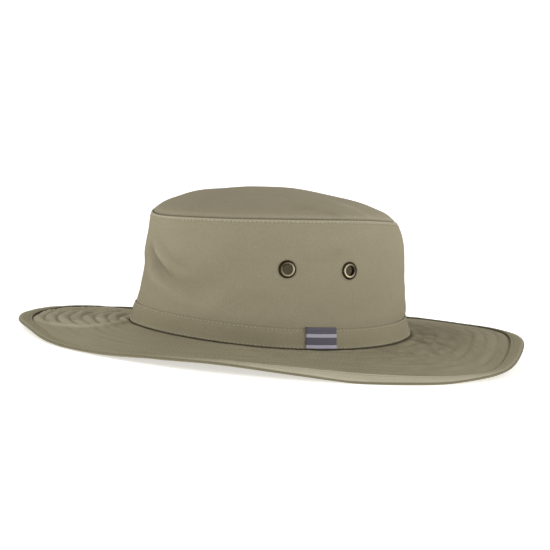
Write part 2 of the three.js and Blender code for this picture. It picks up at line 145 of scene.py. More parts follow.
# bearing, how far the brim's outer few millimetres turn down, or up where it is below 0; fitted
BRIM_TURN_ROWS = [
    (0, -3.4), (15, -3.5), (30, -3.4), (45, -2.2), (60, -0.3), (75, 2.4),
    (90, 4.6), (105, 2.4), (120, -2.2), (135, -5.2), (150, -3.8), (165, 0.2),
    (180, 0.2), (200, 0.0), (300, -0.2), (320, -1.4), (340, -2.0),
]
# how far out the turn starts, and how much it tightens toward the edge
TURN_START, TURN_BEND = 70.0, 1.4
# bearing, what a fit took off the brim's width there, or added where it is below 0
BRIM_TRIM_ROWS = [
    (0, 2.2), (20, -0.7), (45, -0.8), (90, -0.4), (115, -0.1), (125, -0.6), (135, -0.1),
    (145, 0.9), (155, 1.3), (165, 0.8), (180, 0.4), (200, -0.1), (330, 0.3), (345, 2.1),
]
print("rows for the brim's edge, turn and trim:",
      len(BRIM_EDGE_ROWS), len(BRIM_TURN_ROWS), len(BRIM_TRIM_ROWS))

# %% [markdown]
# ## Smooth curves through the tables
#
# A pattern cutter draws a smooth line through a few measured points. `smooth` does the
# same: between each two rows it runs a cubic whose slopes come from the rows on either
# side. It works on whole arrays at once, which keeps a fine cloth mesh quick to make.

# %% Curve and dent helpers
def smooth(rows, column, at, period=None):
    """A column's value at each place, along a cubic through the rows. A period closes it."""
    table = np.array(rows, float)
    key, value = table[:, 0], table[:, column]
    if period:
        key = np.concatenate([key[-1:] - period, key, key[:2] + period])
        value = np.concatenate([value[-1:], value, value[:2]])
        at = np.mod(at, period)
    else:
        key = np.concatenate([key[:1], key, key[-1:]])
        value = np.concatenate([value[:1], value, value[-1:]])
    index = np.clip(np.searchsorted(key, at, side="right") - 1, 1, len(key) - 3)
    span = key[index + 1] - key[index]
    slope = (value[2:] - value[:-2]) / (key[2:] - key[:-2])
    t = (at - key[index]) / span
    start, end = value[index], value[index + 1]
    bend = slope[index - 1] * t * (1 - t) ** 2 - slope[index] * t * t * (1 - t)
    return start + (end - start) * t * t * (3 - 2 * t) + bend * span


def bell(right, up, length, breadth, lean):
    """A long soft bump: 1 in its middle, near 0 past its length and breadth."""
    turn = math.radians(lean)
    along = (right * math.cos(turn) + up * math.sin(turn)) / length
    across = (up * math.cos(turn) - right * math.sin(turn)) / breadth
    return np.exp(-2 * (along**2 + across**2))


def wrapped(angle):
    """The same angle, between -180 and 180 degrees."""
    return np.mod(angle + 180, 360) - 180


def round_from(place, bearing, radius):
    """How far round the hat a bearing lies from a place, in millimetres."""
    return np.radians(wrapped(bearing - place)) * radius


print("seam height at the front and side:", smooth(TIP_SEAM_ROWS, 1, np.array([0, 90.0]), 360))

# %% [markdown]
# ## The hat's surfaces
#
# Each surface is a function of the bearing and of one more number: the share of the wall's
# height, the rise of the tip toward its middle, or the distance out along the brim. A sculpted
# mesh could give the same look, but with functions the cloth, stitches and seams all follow
# one shape.

# %% Wall and tip as functions
def on_oval(bearing, front, back, side, height):
    turn = np.radians(bearing)
    length = (front + back) / 2 + (front - back) / 2 * np.cos(turn)
    parts = np.broadcast_arrays(side * np.sin(turn), -length * np.cos(turn), height)
    return np.stack(parts, axis=-1)


def foot_height(bearing):
    return -FOOT_DIP * np.sin(np.radians(bearing)) ** 2


def seam_height(bearing):
    return smooth(TIP_SEAM_ROWS, 1, bearing, 360)


def wall(bearing, share):
    foot = foot_height(bearing)
    reach = [smooth(WALL_ROWS, column, share) for column in (1, 2, 3)]
    point = on_oval(bearing, *reach, foot + share * (seam_height(bearing) - foot))
    out = point * (1, 1, 0)
    out /= np.linalg.norm(out, axis=-1, keepdims=True)
    fade = np.clip(np.minimum((1 - share) / DENT_FADE, (share - DENT_LOW) / DENT_FADE), 0, 1)
    for place, height, length, breadth, lean, depth in WALL_DENTS:
        right = round_from(place, bearing, HEAD["side"])
        up = (share - height) * FRONT_TALL
        push = depth * fade * bell(right, up, length, breadth, lean)
        point = point - out * push[..., None]
    return point


def share_at(bearing, height):
    return height / (seam_height(bearing) - foot_height(bearing))


def tip(bearing, rise):
    share = 1 - rise
    front, back, side = WALL_ROWS[-1][1:]
    height = TIP_CREST + (seam_height(bearing) - TIP_CREST) * share**TIP_SHARPNESS
    point = on_oval(bearing, front * share, back * share, side * share, height)
    fade = 1 - share**4
    for left, behind, length, breadth, lean, depth in TIP_DENTS:
        dent = bell(point[..., 0] - left, point[..., 1] - behind, length, breadth, lean)
        point[..., 2] -= depth * fade * dent
    from_seam = rise * TIP_REACH
    full = np.exp(-((from_seam - SHOULDER_AT) / SHOULDER_SPREAD) ** 2)
    full = full * (1 - np.exp(-(from_seam / SHOULDER_START) ** 2))
    point[..., 2] += TIP_SHOULDER * full
    return point


print("wall's foot at the left:", wall(np.array([90.0]), np.array([0.0])).round(1))

# %% [markdown]
# ## The brim's surface
#
# The brim runs out from the foot seam to its edge. One table gives the height of that edge,
# and another how far its last few millimetres turn. Where it droops to the table that the
# hat lies on it can go no lower, so `kept_above` levels it off there with a short blend.

# %% Brim as a function
def kept_above(height, limit):
    over = np.clip(height - limit, -REST_BLEND, REST_BLEND)
    turned = (over + REST_BLEND) ** 2 / (4 * REST_BLEND)
    return limit + turned + np.maximum(0, height - limit - REST_BLEND)


def brim_middle(bearing, distance):
    share = distance / BRIM_WIDTH
    out = np.maximum(0, share)
    trim = smooth(BRIM_TRIM_ROWS, 1, bearing, 360) * out
    seam = GAP + BAND_THICK - trim
    front, side = HEAD["front"] + seam + distance, HEAD["side"] + seam + distance
    back = HEAD["back"] + seam + share * BRIM_BACK_WIDTH
    start = foot_height(bearing) - BRIM_THICK / 2
    turn = smooth(BRIM_TURN_ROWS, 1, bearing, 360)
    edge = smooth(BRIM_EDGE_ROWS, 1, bearing, 360) + turn
    past_start = np.clip((distance - TURN_START) / (BRIM_WIDTH - TURN_START), 0, 1)
    turned = turn * past_start**TURN_BEND
    arch = BRIM_ARCH * np.sin(np.pi * out) * np.cos(np.radians(bearing)) ** 2
    height = start + (edge - start) * out**BRIM_DROOP - turned + arch
    point = on_oval(bearing, front, back, side, height)
    floor = -REST_DEPTH - math.tan(PITCH) * point[..., 1]
    point[..., 2] = kept_above(point[..., 2], floor)
    return point


print("brim's edge at the left:", brim_middle(np.array([90.0]), np.array([BRIM_WIDTH])).round(1))

# %% [markdown]
# ## Standing off a surface
#
# Cloth has two faces and stitches lie on it, so most points stand a little off a surface. The
# way out is square to two short steps, one round the hat and one along the surface. On the
# wall and the tip it leads away from the head. On the brim, it leads down.

# %% The way out of a surface
def outward(surface, bearing, along):
    step = 1e-3
    round_ = surface(bearing + step, along) - surface(bearing - step, along)
    up = surface(bearing, along + step) - surface(bearing, along - step)
    normal = np.cross(round_, up)
    return normal / np.linalg.norm(normal, axis=-1, keepdims=True)


def lifted(surface, bearing, along, height):
    height = np.asarray(height, float)
    return surface(bearing, along) + outward(surface, bearing, along) * height[..., None]


print("way out at the wall's left:", outward(wall, np.array([90.0]), np.array([0.5])).round(2))

# %% [markdown]
# ## Setting the hat down
#
# A hat lies on its drooping brim, tipped forward a little. The surfaces above are made in
# the hat's own frame, so one last step turns millimetres into metres, tips the hat, and
# lines up the brim's edge with the box that the frame gives for it.

# %% From the hat's own frame to the frame's
FACET_COUNT = 64
FACETS = np.arange(FACET_COUNT) * 360 / FACET_COUNT
nose_rows = [(BRIM_WIDTH, NOSE_SHARE), (BRIM_WIDTH - BINDING_ROUND, 1.0)]
bound_half = BOUND_THICK / 2 + GAP + BINDING_THICK
nose = np.concatenate([
    lifted(brim_middle, FACETS, np.full(FACET_COUNT, far),
           np.full(FACET_COUNT, side * share * bound_half))
    for far, share in nose_rows for side in (1, -1)
])
tilt = np.array(Matrix.Rotation(PITCH, 3, "X"))
low, high = (np.array(corner) * 1000 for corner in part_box("brim_binding"))
turned_nose = nose @ tilt.T
hat_at = (low + high) / 2 - (turned_nose.min(0) + turned_nose.max(0)) / 2
hat_at[2] = low[2] - turned_nose[:, 2].min()


def set_down(points):
    return (np.asarray(points, float) @ tilt.T + hat_at) / 1000


print("middle of the foot seam, in mm:", hat_at.round(3))

# %% [markdown]
# ## Unevenness in the cloth
#
# Cloth is never quite even. `rumple` gives smooth values between -1 and 1 that close on
# themselves round the hat. It blends numbers from a small fixed table, so the same hat
# comes out each time.

# %% Smooth unevenness
TABLE_SHAPE = (64, 256)
TABLE_SEED = 7
number_table = np.random.default_rng(TABLE_SEED).uniform(-1, 1, TABLE_SHAPE)


def rumple(turns, rows, cells, seed=0):
    """Smooth noise at turns (0 to 1 round the hat, in cells steps) and rows (any)."""
    u = np.mod(turns, 1.0) * cells
    u0, v0 = np.floor(u).astype(int), np.floor(rows).astype(int)
    s, t = u - u0, rows - v0
    s, t = s * s * (3 - 2 * s), t * t * (3 - 2 * t)

    def corner(i, j):
        row = np.mod(j + 17 * seed, TABLE_SHAPE[0])
        column = np.mod(np.mod(u0 + i, cells) * 7 + 31 * seed, TABLE_SHAPE[1])
        return number_table[row, column]

    near = corner(0, v0) * (1 - s) + corner(1, v0) * s
    far = corner(0, v0 + 1) * (1 - s) + corner(1, v0 + 1) * s
    return near * (1 - t) + far * t


print("three samples:", rumple(np.array([0.1, 0.5, 0.9]), np.zeros(3), 12).round(2))

# %% [markdown]
# ## Turning grids of points into cloth
#
# A cloth wall has an outer face, an inner face and edges where they meet. Here it is one
# closed section carried round the hat: the points go up the outside and down the inside.
# The grid also carries a flat map in millimetres, which the weave follows, and two soft
# masks: one darkens seams and hollows with painted shade, and the brass's recesses with its
# dark finish; the other pales edges and crests, as wear and painted light.

# %% A mesh from points and faces
def new_mesh(name, points, faces, maps=None, masks=None):
    """A smooth object from points in the hat's own frame, with its flat map and masks."""
    points = np.asarray(points, float)
    mesh = bpy.data.meshes.new(name)
    mesh.from_pydata(set_down(points).tolist(), [], faces)
    if maps is not None:
        layer = mesh.uv_layers.new(name="cloth")
        layer.data.foreach_set("uv", np.asarray(maps, np.float32).ravel())
    for mask, values in (masks or {}).items():
        attribute = mesh.attributes.new(mask, "FLOAT", "POINT")
        attribute.data.foreach_set("value", np.asarray(values, np.float32).ravel())
    mesh.polygons.foreach_set("use_smooth", [True] * len(mesh.polygons))
    mesh.update()
    piece = bpy.data.objects.new(name, mesh)
    bpy.context.scene.collection.objects.link(piece)
    return piece


print("meshes start in", bpy.context.scene.collection.name)

# %% [markdown]
# ## Which way a mesh faces
#
# A closed mesh whose faces point inward renders with odd shading. The sign of its volume
# tells which way they point, so a mesh that was wound the wrong way is turned over.

# %% Turning faces outward
def faces_turned_in(points, faces):
    """True if a closed mesh's faces point inward, by the sign of its volume."""
    quads = np.array([f if len(f) == 4 else (*f, f[2]) for f in faces])
    a, b, c, d = (points[quads[:, i]] for i in range(4))
    volume = np.einsum("ij,ij->", a, np.cross(b, c)) + np.einsum("ij,ij->", a, np.cross(c, d))
    return volume < 0


def facing_out(points, faces, maps):
    """The same faces and map corners, all turned over if the mesh faces inward."""
    if not faces_turned_in(points, [face for face in faces if len(face) <= 4]):
        return faces, maps
    turned, at = [], 0
    for face in faces:
        turned.extend(reversed(maps[at:at + len(face)]))
        at += len(face)
    return [face[::-1] for face in faces], turned


WEDGE = np.array([(0, 0, 0), (1, 0, 0), (0, 1, 0), (0, 0, 1)], float)
WEDGE_FACES = [(0, 2, 1), (0, 1, 3), (0, 3, 2), (1, 2, 3)]
print("a small wedge faces inward:", bool(faces_turned_in(WEDGE, WEDGE_FACES)))

# %% [markdown]
# ## A section carried round the hat
#
# One grid of points makes most pieces: each row is a point of the section at every station
# round the hat. Where quads are left out of both faces for a hole, short walls join the
# outer face's edge to the inner one's.

# %% The walls of a hole
def hole_edges(gone, count, stations):
    """The short walls of each hole, from the outer face to the inner one behind it."""
    def behind(row):
        return count - 1 - row

    for row, column in zip(*np.nonzero(gone[: count // 2])):
        right, up = (column + 1) % stations, row + 1
        beside = [
            ((row, (column - 1) % stations), (row, column), (up, column)),
            ((row, right), (up, right), (row, right)),
            ((row - 1, column), (row, right), (row, column)),
            ((up, column), (up, column), (up, right)),
        ]
        for neighbour, start, end in beside:
            if not gone[neighbour]:
                yield [start, end, (behind(end[0]), end[1]), (behind(start[0]), start[1])]


one_hole = np.zeros((8, 6), bool)
one_hole[[2, 5], 3] = True
print("walls round a hole of one quad:", len(list(hole_edges(one_hole, *one_hole.shape))))

# %% A section carried round the hat
def carried_round(name, grid, flat_map, masks=None, gone=None, capped=None):
    """grid[k, n] is point k of the section at station n. The section closes on itself unless
    capped gives the two middles of a dome. gone marks the quads that a hole leaves out."""
    count, stations = grid.shape[:2]
    points = grid.reshape(-1, 3)
    last = count - 1 if capped is not None else count
    k, n = np.meshgrid(np.arange(last), np.arange(stations), indexing="ij")
    k, n = k.ravel(), n.ravel()
    if gone is not None:
        kept = ~gone.ravel()
        k, n = k[kept], n[kept]
    k1, n1 = (k + 1) % count, (n + 1) % stations
    quads = np.stack([k * stations + n, k * stations + n1, k1 * stations + n1, k1 * stations + n], 1)
    maps = np.stack([flat_map[k, n], flat_map[k, n + 1], flat_map[k + 1, n + 1], flat_map[k + 1, n]], 1)
    faces, maps = quads.tolist(), maps.reshape(-1, 2).tolist()
    if gone is not None:
        for edge in hole_edges(gone, count, stations):
            faces.append([row * stations + column for row, column in edge])
            maps.extend(flat_map[row, column].tolist() for row, column in edge)
    masks = {key: value.ravel().tolist() for key, value in (masks or {}).items()}
    if capped is not None:
        points = np.vstack([points, capped])
        top, under = len(points) - 2, len(points) - 1
        for n in range(stations):
            m = (n + 1) % stations
            faces.append([top, m, n])
            faces.append([under, (count - 1) * stations + n, (count - 1) * stations + m])
            maps.extend([capped[0][:2].tolist(), grid[0, m, :2].tolist(), grid[0, n, :2].tolist()])
            maps.extend([capped[1][:2].tolist(), grid[-1, n, :2].tolist(), grid[-1, m, :2].tolist()])
        for values in masks.values():
            values.extend([0.0, 0.0])
    faces, maps = facing_out(points, faces, maps)
    return new_mesh(name, points, faces, maps, masks)


print("sections can be carried round")

# %% [markdown]
# ## Colour and material helpers
#
# Cloth colours are easiest to judge as they look on a screen, so they are written as sRGB
# hex and turned to linear light by one function. One more function adds a node with its
# settings and links. Materials are then short lists of nodes.

# %% Colour and nodes
def linear(hex_colour):
    """An sRGB hex colour as linear red, green, blue and alpha."""
    channels = [int(hex_colour[i:i + 2], 16) / 255 for i in (1, 3, 5)]
    return tuple(c / 12.92 if c <= 0.04045 else ((c + 0.055) / 1.055) ** 2.4 for c in channels) + (1.0,)


def add(tree, kind, links=None, **settings):
    """Adds a node. links gives each input a value or another node's output."""
    made = tree.nodes.new(kind)
    for name, value in settings.items():
        setattr(made, name, value)
    for name, value in (links or {}).items():
        if isinstance(value, bpy.types.NodeSocket):
            tree.links.new(value, made.inputs[name])
        else:
            made.inputs[name].default_value = value
    return made


def new_material(name, **surface):
    """A Principled material with fixed values, and its tree to add nodes to."""
    made = bpy.data.materials.new(name)
    made.use_nodes = True
    shader = made.node_tree.nodes["Principled BSDF"]
    for socket, value in surface.items():
        shader.inputs[socket.replace("_", " ")].default_value = value
    return made, made.node_tree, shader


print("khaki in linear light:", [round(c, 3) for c in linear("#938b72")])

# %% [markdown]
# ## Cotton twill
#
# Twill is woven so that each thread steps one over from the last, which draws fine slanting
# ribs on the face. It was piece-dyed olive khaki and washed, so its colour drifts a little
# from place to place and fibres catch light at the edges. Painted shade darkens the seams and
# hollows, painted light makes some stretches paler or darker, and edges and crests are painted
# paler, as wear and painted highlight. Real ribs are about 0.5 mm apart, too fine to show from
# here, so they are drawn at 1.1 mm. The ribs come from two sine waves over the flat map, one
# along the rib and one along the threads that cross it. Loose fibres are drawn about 1.1 mm
# apart, coarser than life, and the dye drifts in patches about 60 mm across.

# %% Twill material
RIB_SPACING = 1.1
THREAD_SPACING = 0.9
CROSS_ANGLE = 74
# noise cells in a metre
FIBRE_SCALE, DRIFT_SCALE = 900.0, 16.0


def twill(name, colour, wear_and_light_colour, rib_angle=62.0, rib_depth=0.00004):
    """Cotton twill. One mask darkens it with painted shade, the other pales it as wear and painted light.
    """
    made, tree, shader = new_material(
        name, Roughness=0.92, IOR=1.5, Specular_IOR_Level=0.08,
        Sheen_Weight=0.04, Sheen_Roughness=0.45, Sheen_Tint=linear("#cfc8ae"),
    )
    flat = add(tree, "ShaderNodeUVMap", uv_map="cloth").outputs["UV"]
    place = add(tree, "ShaderNodeTexCoord").outputs["Object"]
    waves = []
    for spacing, angle in ((RIB_SPACING, rib_angle), (THREAD_SPACING, rib_angle + CROSS_ANGLE)):
        turn = math.radians(angle)
        pull = 2 * math.pi / spacing
        direction = (pull * math.cos(turn), pull * math.sin(turn), 0)
        run = add(tree, "ShaderNodeVectorMath", {0: flat, 1: direction}, operation="DOT_PRODUCT")
        wave = add(tree, "ShaderNodeMath", {0: run.outputs["Value"]}, operation="SINE")
        waves.append(wave.outputs[0])
    threads = add(tree, "ShaderNodeMath", {0: waves[1], 1: 0.45, 2: waves[0]},
                  operation="MULTIPLY_ADD").outputs[0]
    fuzz = add(tree, "ShaderNodeTexNoise", {"Vector": place, "Scale": FIBRE_SCALE, "Detail": 3.0})
    drift = add(tree, "ShaderNodeTexNoise", {"Vector": place, "Scale": DRIFT_SCALE,
                                             "Detail": 4.0, "Roughness": 0.6})
    tone = add(tree, "ShaderNodeMapRange", {"Value": threads, "From Min": -1.45, "From Max": 1.45,
                                            "To Min": 0.93, "To Max": 1.05}).outputs[0]
    speck = add(tree, "ShaderNodeMapRange", {"Value": fuzz.outputs["Fac"], "From Min": 0.3, "From Max": 0.7,
                                             "To Min": 0.93, "To Max": 1.07}).outputs[0]
    fade = add(tree, "ShaderNodeMapRange", {"Value": drift.outputs["Fac"], "From Min": 0.3, "From Max": 0.7,
                                            "To Min": 0.96, "To Max": 1.04}).outputs[0]
    # painted shade: the first mask multiplies the colour down; wear and painted light: the second mixes in
    # the paler colour
    shade_and_patina = add(tree, "ShaderNodeAttribute", attribute_name="shade_and_patina").outputs["Fac"]
    wear_and_painted_light = add(tree, "ShaderNodeAttribute", attribute_name="wear_and_painted_light").outputs["Fac"]
    shade = add(tree, "ShaderNodeMapRange", {"Value": shade_and_patina, "To Min": 1.0, "To Max": 0.42}).outputs[0]
    paler_wear_and_light = add(tree, "ShaderNodeMix", {"Factor": wear_and_painted_light, "A": linear(colour), "B": linear(wear_and_light_colour)},
               data_type="RGBA")
    total = tone
    for part in (speck, fade, shade):
        total = add(tree, "ShaderNodeMath", {0: total, 1: part}, operation="MULTIPLY").outputs[0]
    painted = add(tree, "ShaderNodeVectorMath", {0: paler_wear_and_light.outputs["Result"], "Scale": total},
                  operation="SCALE")
    tree.links.new(painted.outputs["Vector"], shader.inputs["Base Color"])
    rise = add(tree, "ShaderNodeMath", {0: fuzz.outputs["Fac"], 1: 1.2, 2: threads},
               operation="MULTIPLY_ADD")
    bump = add(tree, "ShaderNodeBump", {"Height": rise.outputs[0], "Distance": rib_depth, "Strength": 0.6})
    tree.links.new(bump.outputs["Normal"], shader.inputs["Normal"])
    return made


crown_twill = twill("washed_khaki_twill_crown", "#908872", "#ada58f")
band_twill = twill("washed_khaki_twill_band", "#8c846d", "#a8a188", rib_angle=48.0)
brim_twill = twill("washed_khaki_twill_brim", "#8b836b", "#b3ab93", rib_angle=58.0)
binding_twill = twill("washed_khaki_twill_bias_strip", "#8d866e", "#b8b19b", rib_angle=12.0)
print("twills:", [m.name for m in (crown_twill, band_twill, brim_twill, binding_twill)])

# %% [markdown]
# ## Sewing thread, woven ribbon and brass
#
# Topstitching uses a spun polyester thread a shade paler than the cloth, so its rows show as
# fine light dashes. The brim's quilting and the binding use one close to the cloth, which
# shows only by its sheen. Both get twisted plies from a fine noise, about 1.4 mm a cell.

# %% Sewing thread
PLY_SCALE = 700.0


def thread_material(name, dark, pale):
    made, tree, shader = new_material(name, Roughness=0.62, IOR=1.5, Specular_IOR_Level=0.4,
                                      Sheen_Weight=0.2, Sheen_Roughness=0.4)
    place = add(tree, "ShaderNodeTexCoord").outputs["Object"]
    ply = add(tree, "ShaderNodeTexNoise", {"Vector": place, "Scale": PLY_SCALE, "Detail": 2.0})
    hue = add(tree, "ShaderNodeMix", {"Factor": ply.outputs["Fac"], "A": linear(dark), "B": linear(pale)},
              data_type="RGBA")
    tree.links.new(hue.outputs["Result"], shader.inputs["Base Color"])
    return made


pale_thread = thread_material("spun_polyester_topstitch_thread", "#9e967d", "#bcb49c")
tonal_thread = thread_material("spun_polyester_quilting_thread", "#877f68", "#9c947c")
print("threads:", pale_thread.name, tonal_thread.name)

# %% [markdown]
# ## Woven ribbon
#
# The loop is a damask-woven ribbon: dense slate threads with plain pale stripes woven in. Such
# threads lie about 0.2 mm apart, too fine to show from here, so they are drawn at 0.8 and
# 0.7 mm. The stripes are cut from the ribbon's own height, and fleck where slate shows through.

# %% Ribbon material
WEFT_SPACING, WARP_SPACING = 0.8, 0.7
# height on the ribbon in mm, where a pale stripe starts and ends
RIBBON_STRIPES = [(1.0, 3.3), (8.6, 11.0)]


def ribbon_material():
    made, tree, shader = new_material(
        "damask_woven_ribbon", Roughness=0.7, IOR=1.5, Specular_IOR_Level=0.35,
        Sheen_Weight=0.25, Sheen_Roughness=0.35,
    )
    flat = add(tree, "ShaderNodeUVMap", uv_map="cloth").outputs["UV"]
    split = add(tree, "ShaderNodeSeparateXYZ", {0: flat})
    across, up = split.outputs["X"], split.outputs["Y"]
    weft = add(tree, "ShaderNodeMath", {0: up, 1: 2 * math.pi / WEFT_SPACING},
               operation="MULTIPLY").outputs[0]
    warp = add(tree, "ShaderNodeMath", {0: across, 1: 2 * math.pi / WARP_SPACING},
               operation="MULTIPLY").outputs[0]
    weft = add(tree, "ShaderNodeMath", {0: weft}, operation="SINE").outputs[0]
    warp = add(tree, "ShaderNodeMath", {0: warp}, operation="SINE").outputs[0]
    weave = add(tree, "ShaderNodeMath", {0: weft, 1: 0.5, 2: warp}, operation="MULTIPLY_ADD").outputs[0]
    pale = 0.0
    for start, end in RIBBON_STRIPES:
        middle, half = (start + end) / 2, (end - start) / 2
        inside = add(tree, "ShaderNodeMath", {0: up, 1: middle, 2: half}, operation="COMPARE").outputs[0]
        pale = add(tree, "ShaderNodeMath", {0: inside, 1: pale}, operation="ADD").outputs[0]
    flecks = add(tree, "ShaderNodeMapRange", {"Value": warp, "From Min": -1.0, "From Max": 1.0,
                                              "To Min": 0.55, "To Max": 1.0}).outputs[0]
    pale = add(tree, "ShaderNodeMath", {0: pale, 1: flecks}, operation="MULTIPLY").outputs[0]
    hue = add(tree, "ShaderNodeMix", {"Factor": pale, "A": linear("#57545f"), "B": linear("#b9b4c2")},
              data_type="RGBA")
    tone = add(tree, "ShaderNodeMapRange", {"Value": weave, "From Min": -1.5, "From Max": 1.5,
                                            "To Min": 0.82, "To Max": 1.12}).outputs[0]
    # painted shade from the mask darkens the ribbon
    shade_and_patina = add(tree, "ShaderNodeAttribute", attribute_name="shade_and_patina").outputs["Fac"]
    shade = add(tree, "ShaderNodeMapRange", {"Value": shade_and_patina, "To Min": 1.0, "To Max": 0.3}).outputs[0]
    tone = add(tree, "ShaderNodeMath", {0: tone, 1: shade}, operation="MULTIPLY").outputs[0]
    painted = add(tree, "ShaderNodeVectorMath", {0: hue.outputs["Result"], "Scale": tone},
                  operation="SCALE")
    tree.links.new(painted.outputs["Vector"], shader.inputs["Base Color"])
    bump = add(tree, "ShaderNodeBump", {"Height": weave, "Distance": 0.00005, "Strength": 0.6})
    tree.links.new(bump.outputs["Normal"], shader.inputs["Normal"])
    return made


woven_ribbon = ribbon_material()
print("ribbon:", woven_ribbon.name)

# %% [markdown]
# ## Antiqued brass
#
# The eyelets are rolled brass, dipped in a dark antique finish and tumbled. That rubs the roll
# bright and leaves the recesses nearly black, so the same mask that paints shade into cloth
# seams also darkens and dulls the metal: the dark finish in the recesses, and painted shade at
# the outer rim and on one side of each roll. The finish is mottled in spots of about 2.4 mm.

# %% Brass material
MOTTLE_SCALE = 420.0


def brass_material():
    made, tree, shader = new_material("antiqued_rolled_brass", Metallic=1.0)
    place = add(tree, "ShaderNodeTexCoord").outputs["Object"]
    patches = add(tree, "ShaderNodeTexNoise", {"Vector": place, "Scale": MOTTLE_SCALE, "Detail": 4.0})
    # the dark finish in the recesses, and painted shade at the outer rim and on one side of each roll
    shade_and_patina = add(tree, "ShaderNodeAttribute", attribute_name="shade_and_patina").outputs["Fac"]
    dark = add(tree, "ShaderNodeMath", {0: patches.outputs["Fac"], 1: 0.35, 2: shade_and_patina},
               operation="MULTIPLY_ADD")
    dark = add(tree, "ShaderNodeMapRange", {"Value": dark.outputs[0],
                                            "From Min": 0.12, "From Max": 0.9}).outputs[0]
    hue = add(tree, "ShaderNodeMix", {"Factor": dark, "A": linear("#b3a88e"), "B": linear("#33291b")},
              data_type="RGBA")
    tree.links.new(hue.outputs["Result"], shader.inputs["Base Color"])
    rough = add(tree, "ShaderNodeMapRange", {"Value": dark, "To Min": 0.3, "To Max": 0.6}).outputs[0]
    tree.links.new(rough, shader.inputs["Roughness"])
    bump = add(tree, "ShaderNodeBump", {"Height": patches.outputs["Fac"],
                                        "Distance": 0.00004, "Strength": 0.4})
    tree.links.new(bump.outputs["Normal"], shader.inputs["Normal"])
    return made


antique_brass = brass_material()
print("brass:", antique_brass.name)

# %% [markdown]
# ## Finishing a piece
#
# Each mesh needs a material, a body to ride on, and the names of the plain solids that it
# takes the place of. Stitches take the place of none.

# %% What every piece gets
def finished(piece, material, slot, *nodes):
    """Gives a piece its material, its body and the frame nodes it stands for. The slot is not used."""
    piece.data.materials.append(material)
    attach(piece, "root")
    if nodes:
        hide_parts(*nodes)
    print(piece.name, len(piece.data.polygons), "faces")
    return piece


print("solids to stand in for:", len(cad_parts))

# %% [markdown]
# ## The mitre at the tip seam
#
# The tip and the side wall are sewn face to face and turned, so each panel's edge rolls
# inward and the two meet at the bottom of a small valley. The mitre gives the plane where
# they meet: from the seam line on the outside to the seam line on the inside.

# %% Seam helpers
SEAM_ROLL = 1.2
VALLEY = 0.02
# share of a panel back from its seam, where its direction is taken
BACK_A_LITTLE = 0.005


def seam_mitre(bearing):
    full, start = np.full_like(bearing, 1 - BACK_A_LITTLE), np.full_like(bearing, BACK_A_LITTLE)
    wall_in, tip_in = -outward(wall, bearing, full), -outward(tip, bearing, start)
    inner = wall_in + tip_in
    inner /= np.linalg.norm(inner, axis=-1, keepdims=True)
    inner *= (CLOTH / np.sum(inner * wall_in, axis=-1))[..., None]
    around = np.stack([-wall_in[..., 1], wall_in[..., 0], np.zeros_like(bearing)], -1)
    to_tip = np.cross(inner, around)
    to_tip /= np.linalg.norm(to_tip, axis=-1, keepdims=True)
    to_tip *= np.sign(to_tip[..., 2:])
    return inner, to_tip


def seam_edge(bearing, side):
    inner, to_tip = seam_mitre(bearing)
    outer = wall(bearing, np.ones_like(bearing)) + to_tip * side * VALLEY
    return outer, outer + inner


def rolled(points, into, inner, from_seam):
    """Turns a panel's edge inward over SEAM_ROLL, along the mitre at the very seam."""
    left = np.clip(1 - from_seam / SEAM_ROLL, 0, 1)
    depth = SEAM_ROLL * (1 - np.sqrt(1 - left**2))
    mitre = inner / np.linalg.norm(inner, axis=-1, keepdims=True)
    way = into * (1 - left[..., None]) + mitre * left[..., None]
    return points + way * depth[..., None]


print("the seam rolls in over", SEAM_ROLL, "mm")

# %% [markdown]
# ## Folds in the wall
#
# Soft cotton keeps the folds that a hand has squeezed into it. The longer ones bend, so each
# is a line of points with a push and a breadth at each point, and a push below 0 makes a
# hollow. The short creases are single soft bumps. `crown_wall` adds both to the plain wall,
# with some rumpling, and fades them out toward the seam and behind the band, where stitches
# hold the cloth. Stitches and eyelets use it too, so they sit on the folded cloth.

# %% Wall with its folds, creases and rumples
# each point of a fold: bearing, share, push outward, half its breadth
WALL_FOLDS = [
    [(-3, 0.72, 0.0, 5), (1.5, 0.65, -3.2, 4.2), (6.8, 0.565, -4.6, 4.2), (16.2, 0.48, -2.6, 4.4),
     (22.8, 0.425, -1.7, 5), (33.5, 0.39, -0.9, 6), (42, 0.385, 0.0, 6)],
    [(-6, 0.56, 0.0, 4), (-1.2, 0.5, 0.9, 4), (8, 0.425, 0.9, 4), (16, 0.38, 0.8, 4),
     (24.5, 0.335, 0.6, 4), (34.5, 0.265, 0.5, 4), (42.2, 0.25, 0.5, 4), (47.2, 0.3, 0.4, 4),
     (47, 0.5, 0.0, 4)],
    [(6, 0.76, 0.0, 3.5), (9.5, 0.69, 1.2, 3.5), (17.5, 0.55, 1.2, 3.5), (22, 0.49, 0.0, 3.5)],
    [(7, 0.8, 0.0, 3), (10.8, 0.735, -0.9, 3), (17.8, 0.655, -1.0, 3), (27.5, 0.58, -0.8, 3),
     (34, 0.53, 0.0, 3)],
    [(80, 0.67, 0.0, 4), (85.2, 0.685, -0.8, 4), (98.5, 0.73, -0.7, 4), (106, 0.76, 0.0, 4)],
    [(92, 0.82, 0.0, 4), (98.5, 0.84, 0.35, 4), (120, 0.93, 0.3, 4), (126, 0.95, 0.0, 4)],
]
# bearing, share, length, breadth, lean, depth of the finer creases
WALL_CREASES = [
    (48, 0.50, 22, 5.0, 52, 0.30),
    (128, 0.40, 18, 5.0, -60, 0.30),
    (232, 0.36, 20, 4.0, 35, 0.50),
    (330, 0.62, 22, 5.0, -35, 0.40),
    (165, 0.40, 16, 4.0, 30, 0.40),
]
CREASE_TALL = 82
BROAD_RUMPLE, FINE_RUMPLE = 0.55, 0.22
# shares of the wall: where folds begin above the foot, and how soon they fade there and at the seam
FOLDS_LOW, LOW_FADE, SEAM_FADE = 0.17, 0.12, 0.08


